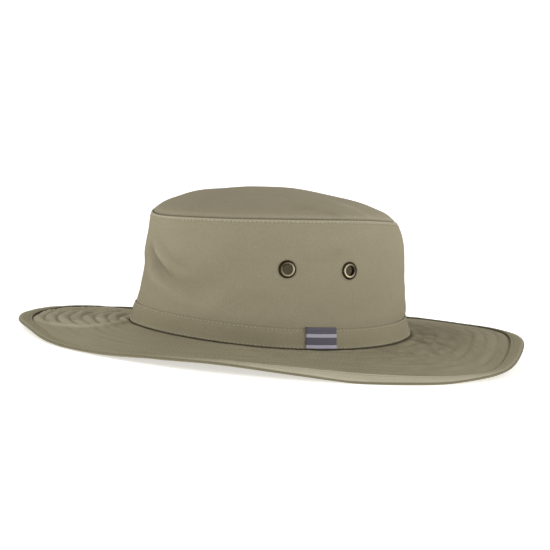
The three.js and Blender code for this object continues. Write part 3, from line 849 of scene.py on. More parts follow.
def fold_push(line, bearing, share):
    """How far one fold pushes the wall out at each place, from its nearest stretch."""
    nearest, push = np.full(bearing.shape, 1e3), np.zeros(bearing.shape)
    for (place, at, start, broad), (next_place, next_at, end, next_broad) in zip(line, line[1:]):
        right, up = round_from(place, bearing, HEAD["side"]), (share - at) * FRONT_TALL
        run = math.radians(next_place - place) * HEAD["side"]
        climb = (next_at - at) * FRONT_TALL
        t = np.clip((right * run + up * climb) / (run**2 + climb**2), 0, 1)
        away = np.hypot(right - t * run, up - t * climb)
        spread = broad + (next_broad - broad) * t
        here = (start + (end - start) * t) * np.exp(-(away / spread) ** 2)
        push = np.where(away < nearest, here, push)
        nearest = np.minimum(away, nearest)
    return push


def crown_wall(bearing, share):
    """The wall with its folds, creases and rumples."""
    bearing, share = np.broadcast_arrays(np.asarray(bearing, float), np.asarray(share, float))
    out = outward(wall, bearing, share)
    turns, height = bearing / 360, share * 5
    fade = np.clip((share - FOLDS_LOW) / LOW_FADE, 0, 1) * np.clip((1 - share) / SEAM_FADE, 0, 1)
    push = BROAD_RUMPLE * rumple(turns, height, 14, 1)
    push = push + FINE_RUMPLE * rumple(turns, height * 2.3, 37, 2)
    for place, at, length, breadth, lean, depth in WALL_CREASES:
        right = round_from(place, bearing, HEAD["side"])
        push = push - depth * bell(right, (share - at) * CREASE_TALL, length, breadth, lean)
    for line in WALL_FOLDS:
        push = push + fold_push(line, bearing, share)
    return wall(bearing, share) + out * (push * fade)[..., None]


print("folds:", len(WALL_FOLDS), "and creases:", len(WALL_CREASES))

# %% [markdown]
# ## Where the eyelets sit
#
# Two pairs of eyelets face each other across the crown, all at one height. Their seats are
# found before the wall is meshed, because the wall needs a hole behind each. The place is
# given as a distance behind the hat's middle, and turned into a bearing on the oval.

# %% Eyelet places
EYELET_SPACING, EYELET_HEIGHT, EYELET_HOLE = 47.2, 51.0, 4.15
SEAM_ABOVE_EYELETS = TIP_SEAM_ROWS[2][1]


def eyelet_seat(side, back):
    share = EYELET_HEIGHT / SEAM_ABOVE_EYELETS
    front, rear = (float(smooth(WALL_ROWS, column, np.array([share]))[0]) for column in (1, 2))
    turn = math.degrees(math.asin(back / ((front + rear) / 2)))
    bearing = np.array([90 + turn if side > 0 else 270 - turn])
    share = share_at(bearing, EYELET_HEIGHT - foot_height(bearing))
    return crown_wall(bearing, share)[0], outward(wall, bearing, share)[0]


def eyelet_axes(normal):
    """The level and upward directions in the plane of an eyelet."""
    upward = np.array([0, 0, 1.0]) - normal * normal[2]
    upward /= np.linalg.norm(upward)
    return np.cross(upward, normal), upward


# name, side, distance behind the middle, how far its roll was pressed off centre, where its
# roll is left brightest while painted shade darkens the far side, in degrees round from the right
EYELETS = [
    ("eyelet_left_front", 1, -EYELET_SPACING / 2, 0.3, -35),
    ("eyelet_left_back", 1, EYELET_SPACING / 2, -0.25, 205),
    ("eyelet_right_front", -1, -EYELET_SPACING / 2, 0.3, 20),
    ("eyelet_right_back", -1, EYELET_SPACING / 2, -0.2, 150),
]
print("eyelets:", [row[0] for row in EYELETS])

# %% [markdown]
# ## The crown's side wall
#
# One long strip of twill, cut on a slight curve and joined at the back. It is built as rows
# of points from a little below the foot, where the band and brim hide them, up to the tip
# seam, closer together where the edge rolls in. Rows at fixed distances from the seam keep
# the stitching true to it however the seam rises and dips.

# %% Rows of points up the wall
TOPSTITCH = 2.25
FOOT_SUNK = 0.4
SIDE_STATIONS = 480
PLAIN_START, PLAIN_ROWS = 6.6, 66
side_bearings = np.arange(SIDE_STATIONS) * 360 / SIDE_STATIONS
near_seam = np.array([0, 0.12, 0.3, 0.5, 0.75, 1.1, 1.6, 2.1, 2.6, 3.1, 3.7, 4.4, 5.4])[:, None]
tall = (seam_height(side_bearings) - foot_height(side_bearings))[None, :]
plain = PLAIN_START + (tall + FOOT_SUNK - PLAIN_START) * np.linspace(0, 1, PLAIN_ROWS)[:, None]
near_seam = np.broadcast_to(near_seam, (len(near_seam), SIDE_STATIONS))
seam_distance = np.concatenate([near_seam, plain])[::-1]
shares = 1 - seam_distance / tall
bearings = np.broadcast_to(side_bearings, shares.shape)
print("rows up the wall:", len(seam_distance), "of", SIDE_STATIONS, "points")

# %% [markdown]
# ## The wall's two faces
#
# The seam's turnings lie inside, pressed down and caught by the topstitching, so the top few
# millimetres stand a little proud and the stitches pull a fine groove into them. At the back
# the strip's ends are joined: a fine valley between two low ridges outside, and a thicker
# strip inside. All are small heights added along the way out of the wall, because a real
# groove catches light as no painted line does.

# %% Outer and inner faces of the wall
TURNING, TURNING_PROUD = 4.2, 0.45
STITCH_PULL, PULL_BREADTH = 0.28, 0.7
PUCKER, PUCKER_BREADTH = 0.12, 2.2
TURNING_INSIDE, BACK_SEAM_INSIDE = 0.6, 0.5
BACK_SEAM = 180.0


def back_seam_dip(bearing):
    """The joined edges at the centre back: a fine valley between two low ridges."""
    away = round_from(BACK_SEAM, bearing, HEAD["back"])
    return 0.35 * np.exp(-(away / 5.0) ** 4) - 0.85 * np.exp(-(away / 0.8) ** 2)


inner_seam, _ = seam_mitre(side_bearings)
inner_seam = np.broadcast_to(inner_seam, shares.shape + (3,))
out = outward(wall, bearings, shares)
from_stitch = seam_distance - TOPSTITCH
proud = TURNING_PROUD * np.clip((TURNING + 1 - seam_distance) / 1.6, 0, 1)
pulled = STITCH_PULL * np.exp(-(from_stitch / PULL_BREADTH) ** 2)
pucker = PUCKER * np.exp(-(from_stitch / PUCKER_BREADTH) ** 2)
pucker = pucker * rumple(bearings / 360, seam_distance * 0, 150, 3)
lift = proud - pulled + pucker + back_seam_dip(bearings)
outer_face = crown_wall(bearings, shares) + out * lift[..., None]
outer_face = rolled(outer_face, -out, inner_seam, seam_distance)
outer_edge, inner_edge = seam_edge(side_bearings, -1)
outer_face[-1] += outer_edge - wall(side_bearings, np.ones(SIDE_STATIONS))
ridge = TURNING_INSIDE * np.clip((8.0 - seam_distance) / 1.5, 0, 1)
ridge = ridge * np.clip(seam_distance / 2, 0, 1)
from_back = round_from(BACK_SEAM, bearings, HEAD["back"])
inside_seam = BACK_SEAM_INSIDE * np.exp(-(from_back / 7.0) ** 4)
inner_face = crown_wall(bearings, shares) - out * (CLOTH + ridge + inside_seam)[..., None]
inner_face[-1] = inner_edge
section = np.concatenate([outer_face, inner_face[::-1]])
print("the wall's section:", section.shape[0], "points")

# %% [markdown]
# ## Shade and wear on the wall
#
# Painted shade darkens the seams and the hollows of folds, the crests of folds get a painted
# highlight, and the rolled edge below the tip seam is painted paler. The two masks are worked
# out from the same distances as the shape, so they always lie on it. A painted texture would
# have to be lined up by hand.

# %% Masks and flat map of the wall
MAP_RADIUS = 92
# painted shade in the tip seam, the stitch groove and the back seam; paler along the edge below the seam
shade_and_patina = 0.6 * np.exp(-(seam_distance / 0.8) ** 2) + 0.25 * np.exp(-(from_stitch / 0.5) ** 2)
shade_and_patina += 0.8 * np.exp(-(from_back / 0.7) ** 2)
wear_and_painted_light = 0.8 * np.exp(-((seam_distance - 1.3) / 0.6) ** 2)
folded = sum(fold_push(line, bearings, shares) for line in WALL_FOLDS)
# painted shade in the hollows of folds, and a painted highlight on their crests
shade_and_patina += 0.1 * np.clip(-folded, 0, 4)
wear_and_painted_light += 0.2 * np.clip(folded, 0, 1.5)
run = np.arange(SIDE_STATIONS + 1) * (2 * math.pi * MAP_RADIUS / SIDE_STATIONS)
from_seam = seam_distance.mean(1)[::-1]
rise = np.concatenate([-from_seam[::-1], -from_seam, [-from_seam[-1]]])
side_map = np.stack(np.broadcast_arrays(run[None, :], rise[:, None]), -1)
print("darkest and palest on the wall:", shade_and_patina.max().round(2), wear_and_painted_light.max().round(2))

# %% [markdown]
# ## Holes for the eyelets
#
# Each hole is punched through both faces. A boolean cut would leave long thin faces, so the
# quads inside the hole are left out instead, and the points round it are drawn onto the
# hole's circle. Painted shade darkens the cloth where the washer meets it.

# %% Holes, and the finished side wall
HOLE_SPARE = 0.35
# how deep a hole reaches, and a distance that stands for never near it
HOLE_DEPTH, NEVER_NEAR = 20, 99
WASHER_EDGE, WASHER_SHADE_REACH = 6.1, 9
rows = len(from_seam)
gone = np.zeros((2 * rows, SIDE_STATIONS), bool)
for _, side, back, _, _ in EYELETS:
    centre, normal = eyelet_seat(side, back)
    right, upward = eyelet_axes(normal)
    offset = section[:rows] - centre
    a, b, depth = offset @ right, offset @ upward, offset @ normal
    reach = np.where(np.abs(depth) < HOLE_DEPTH, np.hypot(a, b), NEVER_NEAR)
    inside = reach < EYELET_HOLE + HOLE_SPARE
    whole = inside[:-1] & inside[1:]
    hole = whole & np.roll(whole, -1, 1)
    gone[:rows - 1] |= hole
    gone[rows:2 * rows - 1] |= hole[::-1]
    touched = np.zeros_like(inside)
    for down, along in ((0, 0), (1, 0), (0, 1), (1, 1)):
        touched[down:rows - 1 + down] |= np.roll(hole, along, 1)
    # painted shade on the cloth just outside the washer's edge
    washer_shade_zone = reach < WASHER_SHADE_REACH
    shade_and_patina[washer_shade_zone] += 0.55 * np.exp(-np.clip(reach[washer_shade_zone] - WASHER_EDGE, 0, None) ** 2 / 0.5)
    from_centre = a[..., None] * right + b[..., None] * upward
    shift = (EYELET_HOLE - reach)[..., None] * from_centre / np.maximum(reach, 1e-6)[..., None]
    section[:rows][touched] += shift[touched]
    section[rows:][::-1][touched] += shift[touched]
side_masks = {
    "shade_and_patina": np.concatenate([np.clip(shade_and_patina, 0, 1), np.zeros_like(shade_and_patina)]),
    "wear_and_painted_light": np.concatenate([wear_and_painted_light, np.zeros_like(wear_and_painted_light)]),
}
crown_side_cloth = carried_round("crown_side_cloth", section, side_map, side_masks, gone)
finished(crown_side_cloth, crown_twill, "crown_cloth", "crown_side")

# %% [markdown]
# ## The tip
#
# The tip is an oval of twill. It was pressed over a block and lies as a shallow dome with a
# few hollows and a full shoulder just inside the seam. It is built from the seam inward to
# the middle, where the last ring closes, so that its rows follow the seam as the wall's do.

# %% Tip with its creases
TIP_STATIONS = 384
CREASE_FADE = 0.12
TIP_RUMPLE = 0.6
tip_bearings = np.arange(TIP_STATIONS) * 360 / TIP_STATIONS
close_rows = [0, 0.12, 0.3, 0.5, 0.75, 1.1, 1.6, 2.2, 3.0, 4.0]
tip_from_seam = np.concatenate([close_rows, np.arange(5.4, 82, 1.9)])
# toward the left, toward the back, length, breadth, lean, depth of the finer creases
TIP_CREASES = [
    (56, 31, 19, 3.4, 55, -0.9),
    (71, 11, 9, 5, 70, 1.2),
    (61, -7, 12, 7, 80, 0.9),
    (20, -40, 26, 8, 70, 0.5),
    (-28, 30, 22, 6, 40, 0.6),
    (-10, -56, 18, 6, 10, 0.4),
]


def crown_top(bearing, rise):
    """The tip with its finer creases and a slow rumple."""
    point = tip(bearing, rise)
    fade = np.clip(rise / CREASE_FADE, 0, 1)
    for left, behind, length, breadth, lean, depth in TIP_CREASES:
        dent = bell(point[..., 0] - left, point[..., 1] - behind, length, breadth, lean)
        point[..., 2] -= depth * fade * dent
    spread = np.clip(1 - rise, 0, 1)
    low = rumple(bearing / 360, 4 * spread, 9, 5) * np.sin(np.pi * spread)
    point[..., 2] += TIP_RUMPLE * low * fade
    return point


print("rows in from the tip seam:", len(tip_from_seam))

# %% Upper and under faces of the tip
tip_shape = (len(tip_from_seam), TIP_STATIONS)
tip_rises = np.broadcast_to((tip_from_seam / TIP_REACH)[:, None], tip_shape)
bearings = np.broadcast_to(tip_bearings, tip_shape)
seam_distance = np.broadcast_to(tip_from_seam[:, None], tip_shape)
out = outward(tip, bearings, np.maximum(tip_rises, 0.002))
inner_seam = np.broadcast_to(seam_mitre(tip_bearings)[0], tip_shape + (3,))
top_face = rolled(crown_top(bearings, tip_rises), -out, inner_seam, seam_distance)
outer_edge, inner_edge = seam_edge(tip_bearings, 1)
top_face[0] += outer_edge - tip(tip_bearings, np.zeros(TIP_STATIONS))
under_face = crown_top(bearings, tip_rises) - out * CLOTH
under_face[0] = inner_edge
section = np.concatenate([top_face[::-1], under_face])
print("crown's top, in mm above the foot seam:", top_face[..., 2].max().round(1))

# %% [markdown]
# ## Shade and wear on the tip
#
# The three creases on the left get painted shade in their hollows and a painted highlight on
# their crests, the seam gets painted shade with a paler line beside it, and painted light
# makes the front of the tip darker and its back paler. The middle of the dome gets one point
# on each face, to close it.

# %% Masks, and the finished tip
LEFT_CREASES = TIP_CREASES[:3]
behind_middle = top_face[..., 1]
creased = sum(depth * bell(top_face[..., 0] - left, behind_middle - behind, length, breadth, lean)
              for left, behind, length, breadth, lean, depth in LEFT_CREASES)
# painted shade in the seam and the creases' hollows, and painted light darkening the front
shade_and_patina = 0.5 * np.exp(-(seam_distance / 0.9) ** 2) + 0.14 * np.clip(creased, 0, 2)
shade_and_patina = shade_and_patina + np.clip(0.04 - 0.0018 * behind_middle, 0, 0.2)
# a paler line beside the seam, a painted highlight on the creases' crests, and painted light paling the
# back
wear_and_painted_light = 0.25 * np.exp(-((seam_distance - 2.0) / 1.4) ** 2) + 0.3 * np.clip(-creased, 0, 1)
wear_and_painted_light = wear_and_painted_light + np.clip(0.004 * behind_middle, 0, 0.25)
tip_masks = {
    "shade_and_patina": np.concatenate([shade_and_patina[::-1], 0 * shade_and_patina]),
    "wear_and_painted_light": np.concatenate([wear_and_painted_light[::-1], 0 * wear_and_painted_light]),
}
plan = np.concatenate([section, section[:, :1]], 1)[..., :2]
middle = crown_top(np.array([0.0]), np.array([1.0]))[0]
capped = np.array([middle, middle - (0, 0, CLOTH)])
crown_tip_cloth = carried_round("crown_tip_cloth", section, plan, tip_masks, capped=capped)
finished(crown_tip_cloth, crown_twill, "crown_cloth", "crown_tip")

# %% [markdown]
# ## The band
#
# A folded strip of the same twill, stitched along both edges over the seam at the crown's
# foot. Its section is a flat loop with rounded edges, its top edge pressed thinner and its
# foot flared a little at the front. Small puckers follow each row of stitches, because sewing
# thread pulls the cloth in. The shapes are functions, so that the stitches can follow them.

# %% How the band lies
BAND_STITCH = 1.3
BAND_SEAMS = (BAND_STITCH, BAND_HEIGHT - BAND_STITCH)
PRESSED, PRESSED_REACH = 0.5, 3
FLARE, FLARE_AT, FLARE_SPREAD, FLARE_HEIGHT = 1.0, -12, 30, 4.5


def loop_section(low, high, inside, outside, radius, step):
    """A flat strip's closed section, as (height, lift) pairs: up inside and down outside."""
    heights = np.linspace(low + radius, high - radius, max(3, int((high - low) / step)))
    middle, half = (inside + outside) / 2, (outside - inside) / 2
    turn = np.radians([60, 30, 0, -30, -60])
    over = [(high - radius + radius * math.cos(a), middle - half * math.sin(a)) for a in turn]
    under = [(low + radius - radius * math.cos(a), middle + half * math.sin(a)) for a in turn]
    return np.array([(h, inside) for h in heights] + over + [(h, outside) for h in heights[::-1]] + under)


def band_bulk(height):
    """How thick the band is at a height, as a share: its top edge is pressed flat."""
    return 1 - PRESSED * np.exp(-(((BAND_HEIGHT - height) / PRESSED_REACH) ** 2))


def band_flare(bearing, height):
    """How far the band's foot spreads outward at the front, in millimetres."""
    toward_front = np.exp(-((wrapped(bearing - FLARE_AT) / FLARE_SPREAD) ** 2))
    return FLARE * toward_front * np.exp(-((height / FLARE_HEIGHT) ** 2))


def band_pucker(bearing, height):
    """Small gathers that the band's stitches draw in."""
    return 0.22 * rumple(bearing / 360, height / 9, 120, 6)


def band_wave(bearing, height):
    """Slow unevenness along the band."""
    return 0.3 * rumple(bearing / 360, height / 14, 26, 7)


print("band's thickness at its top edge:", round(BAND_THICK * band_bulk(BAND_HEIGHT), 2), "mm")

# %% The finished band
BAND_STATIONS = 480
BAND_LOW = 0.3
BAND_MAP_RADIUS = 94
# bearing and spread of a stretch of the band that is darker
DARKER_STRETCH_AT, DARKER_STRETCH_SPREAD = 62, 26
band_bearings = np.arange(BAND_STATIONS) * 360 / BAND_STATIONS
band_loop = loop_section(BAND_LOW, BAND_HEIGHT, GAP, GAP + BAND_THICK, 0.55, 0.8)
heights, lifts = band_loop[:, 0], band_loop[:, 1]
levels = heights[:, None]
bearings = np.broadcast_to(band_bearings, (len(heights), BAND_STATIONS))
face = np.clip((lifts - GAP) / BAND_THICK, 0, 1)[:, None]
on_seams = sum(np.exp(-((heights - at) / 0.6) ** 2) for at in BAND_SEAMS)[:, None]
by_seams = sum(np.exp(-((heights - at) / 2.4) ** 2) for at in BAND_SEAMS)[:, None]
puff = band_pucker(bearings, levels) * by_seams
puff = puff + band_wave(bearings, levels) - 0.2 * on_seams
lift = GAP + (lifts[:, None] - GAP) * band_bulk(levels) + face * puff
lift = lift + band_flare(bearings, levels)
section = lifted(wall, bearings, share_at(bearings, levels), lift)
edge = np.minimum(levels - BAND_LOW, BAND_HEIGHT - levels) * np.ones((1, BAND_STATIONS))
# painted shade at the band's foot, along its edges and stitches, and on its hidden inner face
foot = 0.9 * np.exp(-((levels - BAND_LOW) / 0.45) ** 2)
darker_stretch = 0.14 * np.exp(-((wrapped(bearings - DARKER_STRETCH_AT) / DARKER_STRETCH_SPREAD) ** 2))
shaded = darker_stretch + 0.25 * np.exp(-(edge / 0.35) ** 2) + 0.15 * on_seams + foot
above_stitches = 0.3 * np.exp(-(((levels - BAND_STITCH - 0.6) / 0.9) ** 2))
band_masks = {
    "shade_and_patina": np.clip(face * shaded + (1 - face) * 0.5, 0, 1),
    "wear_and_painted_light": face * (0.25 * np.exp(-((edge - 0.7) / 0.4) ** 2) + above_stitches),
}
run = np.arange(BAND_STATIONS + 1) * (2 * math.pi * BAND_MAP_RADIUS / BAND_STATIONS)
round_strip = np.append(heights + lifts, heights[0])[:, None]
band_map = np.stack(np.broadcast_arrays(run[None, :], round_strip), -1)
hat_band_cloth = carried_round("hat_band_cloth", section, band_map, band_masks)
finished(hat_band_cloth, band_twill, "band_cloth", "hat_band")

# %% [markdown]
# ## The brim
#
# Two plies of twill are sewn together in rings, which stiffens them. The thread draws the
# cloth in along each ring, so the plies puff a little between rings, and small slanting
# puckers cross from ring to ring where one ply crept against the other. Tables say where the
# cloth puffs most, where the edge and its binding stand up or down, where painted light makes
# it paler or darker, and where a soft fold crosses the brim's front.

# %% Tables for the sewn brim
RING_COUNT = 8
BINDING_START = BRIM_WIDTH - BINDING_WIDTH
RING_SPACING = BINDING_START / RING_COUNT
# bearing, how far the plies puff up between two rings, in millimetres
PUFF_ROWS = [
    (0, 1.9), (10, 1.6), (20, 0.4), (60, 0.3), (100, 0.35), (130, 0.35), (150, 0.3), (180, 0.35),
    (215, 0.45), (270, 0.4), (305, 1.0), (335, 1.7),
]
# bearing, how far the thin bound edge is shifted up or down inside the frame's thicker one
EDGE_SHIFT_ROWS = [
    (0, 0.2), (20, -0.6), (140, -0.6), (165, 0.5), (195, 0.6), (225, 0.5), (250, -0.6), (285, -0.6),
    (305, 0.4), (340, 0.6),
]
# bearing, how far the binding stands proud of the cloth beside it, in millimetres
PROUD_ROWS = [
    (0, 0.0), (20, -0.2), (60, -0.1), (125, -0.1), (150, 0.0), (165, 0.6), (180, 1.0),
    (215, 1.1), (325, 0.9), (345, 0.3),
]
# bearing, how dark the step at the binding's edge looks
STEP_SHADE_ROWS = [
    (0, 0.25), (20, 0.2), (60, 0.3), (120, 0.4), (145, 0.5), (172, 0.55), (190, 0.9),
    (325, 0.85), (345, 0.35),
]
# bearing, how much paler painted light makes the cloth there, or darker painted shade where it is below 0
PAINTED_TONE_ROWS = [
    (0, 0.21), (20, 0.14), (42, -0.08), (70, -0.16), (95, -0.15), (115, -0.05), (130, 0.07),
    (150, 0.05), (200, 0.0), (330, 0.1),
]
# distance out along the brim, bearing of the fold across its front
FOLD_ROWS = [(0, -9), (12, -1), (27, 4.5), (42, 5.2), (51, 3), (62, -2.5), (70, -11)]
FOLD_HEIGHT, FOLD_BREADTH = 2.2, 2.6
print("ring spacing:", RING_SPACING, "mm")

# %% [markdown]
# ## The brim with its fold
#
# `sewn_brim` is the middle of the two plies with the fold and the thin edge added. The way
# out of the brim leads down, so `off_brim` turns it over: heights above 0 lie on the top.

# %% The folded brim
def fold_at(distance):
    """Bearing of the front fold at a distance out along the brim."""
    return smooth(FOLD_ROWS, 1, np.clip(distance, 0, FOLD_ROWS[-1][0]))


def front_fold(bearing, distance, breadth):
    """1 along the crest of the soft fold across the brim's front, fading to 0 either side."""
    away = round_from(fold_at(distance), bearing, HEAD["front"] + distance)
    fade = np.clip(distance / 6, 0, 1) * np.clip((BINDING_START - distance) / 8, 0, 1)
    return fade * np.exp(-np.abs(away / breadth) ** 1.6)


def sewn_brim(bearing, distance):
    """The middle of the brim with its thin edge and its front fold."""
    point = brim_middle(bearing, distance)
    out = np.clip(distance / BRIM_WIDTH, 0, 1)
    point[..., 2] += smooth(EDGE_SHIFT_ROWS, 1, bearing, 360) * out * out
    point[..., 2] += FOLD_HEIGHT * front_fold(bearing, distance, FOLD_BREADTH)
    return point


def off_brim(bearing, distance, height):
    """Points above the brim's middle, or below it where the height is less than 0."""
    return lifted(sewn_brim, bearing, distance, -np.asarray(height))


print("the fold meets the binding at bearing", float(fold_at(BINDING_START)), "degrees")

# %% [markdown]
# ## Quilting
#
# The height of each face comes from four parts: puffs between the rings, a groove at each
# row of stitches, slanting wrinkles, and gathers near the foot at the back left. Each part
# uses its own noise, the seeds of which differ for the top and the underside, so the two
# faces share their rings but not their puckers. A cloth simulation could make such puckers,
# but not the same ones each time. The cloth lies flat beside the front fold.

# %% Quilted surface
GATHER_AT, GATHER_SPREAD, GATHER_OUT, GATHER_REACH = 146, 26, 16, 17
FLAT_PAST_FOLD, FLAT_LENGTH = 0.88, 60


def quilting(bearing, distance, side):
    """Height of the puffs, grooves and puckers on one face, in millimetres. The top is side 1."""
    ring = distance / RING_SPACING
    within = ring - np.floor(ring)
    to_row = np.minimum(within, 1 - within) * RING_SPACING
    open_cloth = np.clip(distance / 3, 0, 1) * np.clip((BINDING_START + 1 - distance) / 3, 0, 1)
    from_fold = wrapped(bearing - fold_at(distance))
    past_fold = np.clip((from_fold + 2.5) / 3, 0, 1) * np.clip((FLAT_LENGTH - from_fold) / 20, 0, 1)
    most = smooth(PUFF_ROWS, 1, bearing, 360) * (1 - FLAT_PAST_FOLD * past_fold)
    turns = bearing / 360
    lean = 0.012 * (within - 0.5)
    slow = 1 + 0.8 * rumple(turns + lean, np.floor(ring) * 3.0 + 7, 44, 30 + side)
    groove = (0.06 + 0.15 * most) * np.exp(-((to_row / 0.8) ** 2))
    puff = most * slow * (1 - np.abs(2 * within - 1) ** 2.2) - groove
    wrinkle = rumple(turns + lean, np.floor(ring) * 3.0 + 0.2 * within, 150, 8 + side)
    fine = rumple(turns - 1.4 * lean, np.floor(ring) * 5.0 + 0.5, 236, 12 + side)
    ridge = 1 - 2 * np.abs(wrinkle) ** 0.7
    busy = 0.25 + 0.75 * np.clip(0.5 + 0.9 * rumple(turns, ring / 2.5, 11, 15 + side), 0, 1)
    along_row = np.sin(np.pi * within) ** 0.8
    creep = 0.6 * ridge * along_row + 0.3 * fine * (0.4 + 0.6 * along_row)
    pucker = busy * (0.3 + 0.6 * most) * creep
    near_gather = np.exp(-((np.abs(wrapped(bearing - GATHER_AT)) / GATHER_SPREAD) ** 2))
    near_gather = near_gather * np.exp(-(((distance - GATHER_OUT) / GATHER_REACH) ** 2))
    gather = rumple(turns + 0.0006 * distance, distance / 7.5, 96, 18 + side)
    pull = 2.2 * near_gather * np.clip(gather - 0.1, 0, 1) * (0.4 + 0.6 * along_row)
    pucker = pucker - pull
    pucker = pucker + 0.16 * rumple(turns + 0.002 * ring, distance / 2.6, 48, 24 + side)
    drawn_flat = 1 - 0.8 * front_fold(bearing, distance, 2.4)
    return (0.6 + 0.15 * side) * open_cloth * drawn_flat * (puff + pucker)


print("a puff at the front:", quilting(np.array([0.0]), np.array([RING_SPACING / 2]), 1).round(2), "mm")

# %% [markdown]
# ## The brim's two faces
#
# Rows of points run from the seam at the crown's foot out under the binding, seven to a ring
# so that puffs stay round. The plies thin toward the bound edge, and the thread at the foot
# pulls the top down a little.

# %% Faces of the brim
EDGE_HALF = 0.5
CLOTH_EDGE = BRIM_WIDTH - 1.6
BRIM_STATIONS = 720
ROWS_A_RING = 7
THINS_OVER = 2.5
brim_bearings = np.arange(BRIM_STATIONS) * 360 / BRIM_STATIONS
inner_edge_at = -(CLOTH + GAP + BAND_THICK)
distances = np.concatenate([
    [inner_edge_at, inner_edge_at + 0.5, -1.8, -0.9, 0, 0.7],
    np.arange(1, RING_COUNT * ROWS_A_RING) * RING_SPACING / ROWS_A_RING,
    [BINDING_START - 0.7, BINDING_START - 0.2, BINDING_START + 0.6, BINDING_START + 3, CLOTH_EDGE],
])
distances = np.unique(np.round(distances, 3))
bearings = np.broadcast_to(brim_bearings, (len(distances), BRIM_STATIONS))
out_along = np.broadcast_to(distances[:, None], bearings.shape)
half_at = [inner_edge_at, inner_edge_at + 0.6, BINDING_START - THINS_OVER, BINDING_START]
half = np.interp(distances, half_at, [0.55, BRIM_THICK / 2, BRIM_THICK / 2, EDGE_HALF])[:, None]
by_binding = np.clip((distances[:, None] - BINDING_START + THINS_OVER) / THINS_OVER, 0, 1)
half = half - 0.25 * smooth(PROUD_ROWS, 1, bearings, 360) * by_binding
foot_pull = 0.15 * np.exp(-((distances - 0.6) / 0.9) ** 2)[:, None]
top_quilting = quilting(bearings, out_along, 1)
upper = off_brim(bearings, out_along, half + top_quilting - foot_pull)
lower = off_brim(bearings, out_along, -half - quilting(bearings, out_along, 0))
section = np.concatenate([upper, lower[::-1]])
print("brim's section:", section.shape[0], "points,", BRIM_STATIONS, "times round")

# %% [markdown]
# ## Shade and wear on the brim
#
# Painted shade darkens the rows of stitches, the foot under the band, the step at the binding
# and the hollows between puffs. The crest of the fold and the tops of puffs are painted paler,
# as wear and painted highlight, and painted light makes the cloth paler or darker round the
# hat. The paler marks are on the top only, and the painted shade is on both faces.

# %% Masks, and the finished brim
CREST_OFFSET, CREST_BREADTH = 0.3, 1.7
HOLLOW_SHADE, PUFF_WEAR_AND_HIGHLIGHT, CREST_WEAR_AND_HIGHLIGHT = 0.62, 0.45, 0.6
WIDE_SHADE_AT, WIDE_SHADE_SPREAD = 262, 62
ring_at = distances / RING_SPACING
to_row = np.abs(ring_at - np.round(ring_at)) * RING_SPACING
row_shade = 0.1 * np.exp(-(to_row / 0.6) ** 2) * (distances > 2)
past_flare = np.clip(out_along - band_flare(bearings, 0.0), 0, None)
foot_shade = np.exp(-(past_flare / 1.6) ** 2)
shade_reach = 0.9 + 1.0 * np.exp(-((wrapped(bearings - WIDE_SHADE_AT) / WIDE_SHADE_SPREAD) ** 6))
edge_shade = np.exp(-((out_along - BINDING_START) / shade_reach) ** 2)
edge_shade = edge_shade * smooth(STEP_SHADE_ROWS, 1, bearings, 360)
patchy = rumple(bearings / 360, np.round(ring_at)[:, None] * 3.0, 34, 22)
patchy = np.clip(0.4 + 1.1 * patchy, 0, 1.2)
valley = np.clip(-top_quilting, 0, 0.6) * HOLLOW_SHADE
# painted shade in the rows, at the foot, at the binding's step and in the hollows between puffs
shade_and_patina = row_shade[:, None] * (0.4 + 2.6 * patchy) + foot_shade + edge_shade + valley
# the fold's crest gets less painted shade and a painted highlight
crest = front_fold(bearings - CREST_OFFSET, out_along, CREST_BREADTH)
# painted light: the cloth paler or darker round the hat
painted_tone = smooth(PAINTED_TONE_ROWS, 1, bearings, 360)
shade_and_patina = np.clip(np.clip(shade_and_patina, 0, 1) - 0.5 * crest + np.clip(-painted_tone, 0, 1), 0, 1)
# paler puff tops and crest, as wear and painted highlight, and painted light round the hat
paler_wear_and_light = PUFF_WEAR_AND_HIGHLIGHT * np.clip(top_quilting, 0, 0.7) + CREST_WEAR_AND_HIGHLIGHT * crest + np.clip(painted_tone, 0, 1)
paler_wear_and_light = np.clip(paler_wear_and_light, 0, 1)
brim_masks = {
    "shade_and_patina": np.concatenate([shade_and_patina, shade_and_patina[::-1]]),
    "wear_and_painted_light": np.concatenate([paler_wear_and_light, 0 * paler_wear_and_light]),
}
plan = np.concatenate([section, section[:, :1]], 1)[..., :2]
plan = np.concatenate([plan, plan[:1]], 0)
brim_cloth = carried_round("brim_cloth", section, plan, brim_masks)
finished(brim_cloth, brim_twill, "brim_cloth", "brim")

# %% [markdown]
# ## The binding
#
# A strip of twill cut on the bias is folded over the brim's edge and sewn through, so it
# bends round the curve without pleats. Its section goes round the edge like a letter U. The
# strip draws in slightly at each stitch. Its fold is paler from wear, painted light makes it
# paler along the left, and painted shade darkens the step at its inner edge and its hidden faces.

# %% Section of the binding
BINDING_INSIDE, BINDING_OUTSIDE = EDGE_HALF + 0.1, 1.25
BIND_STITCH = 1.7
NOSE_RADIUS = 1.3
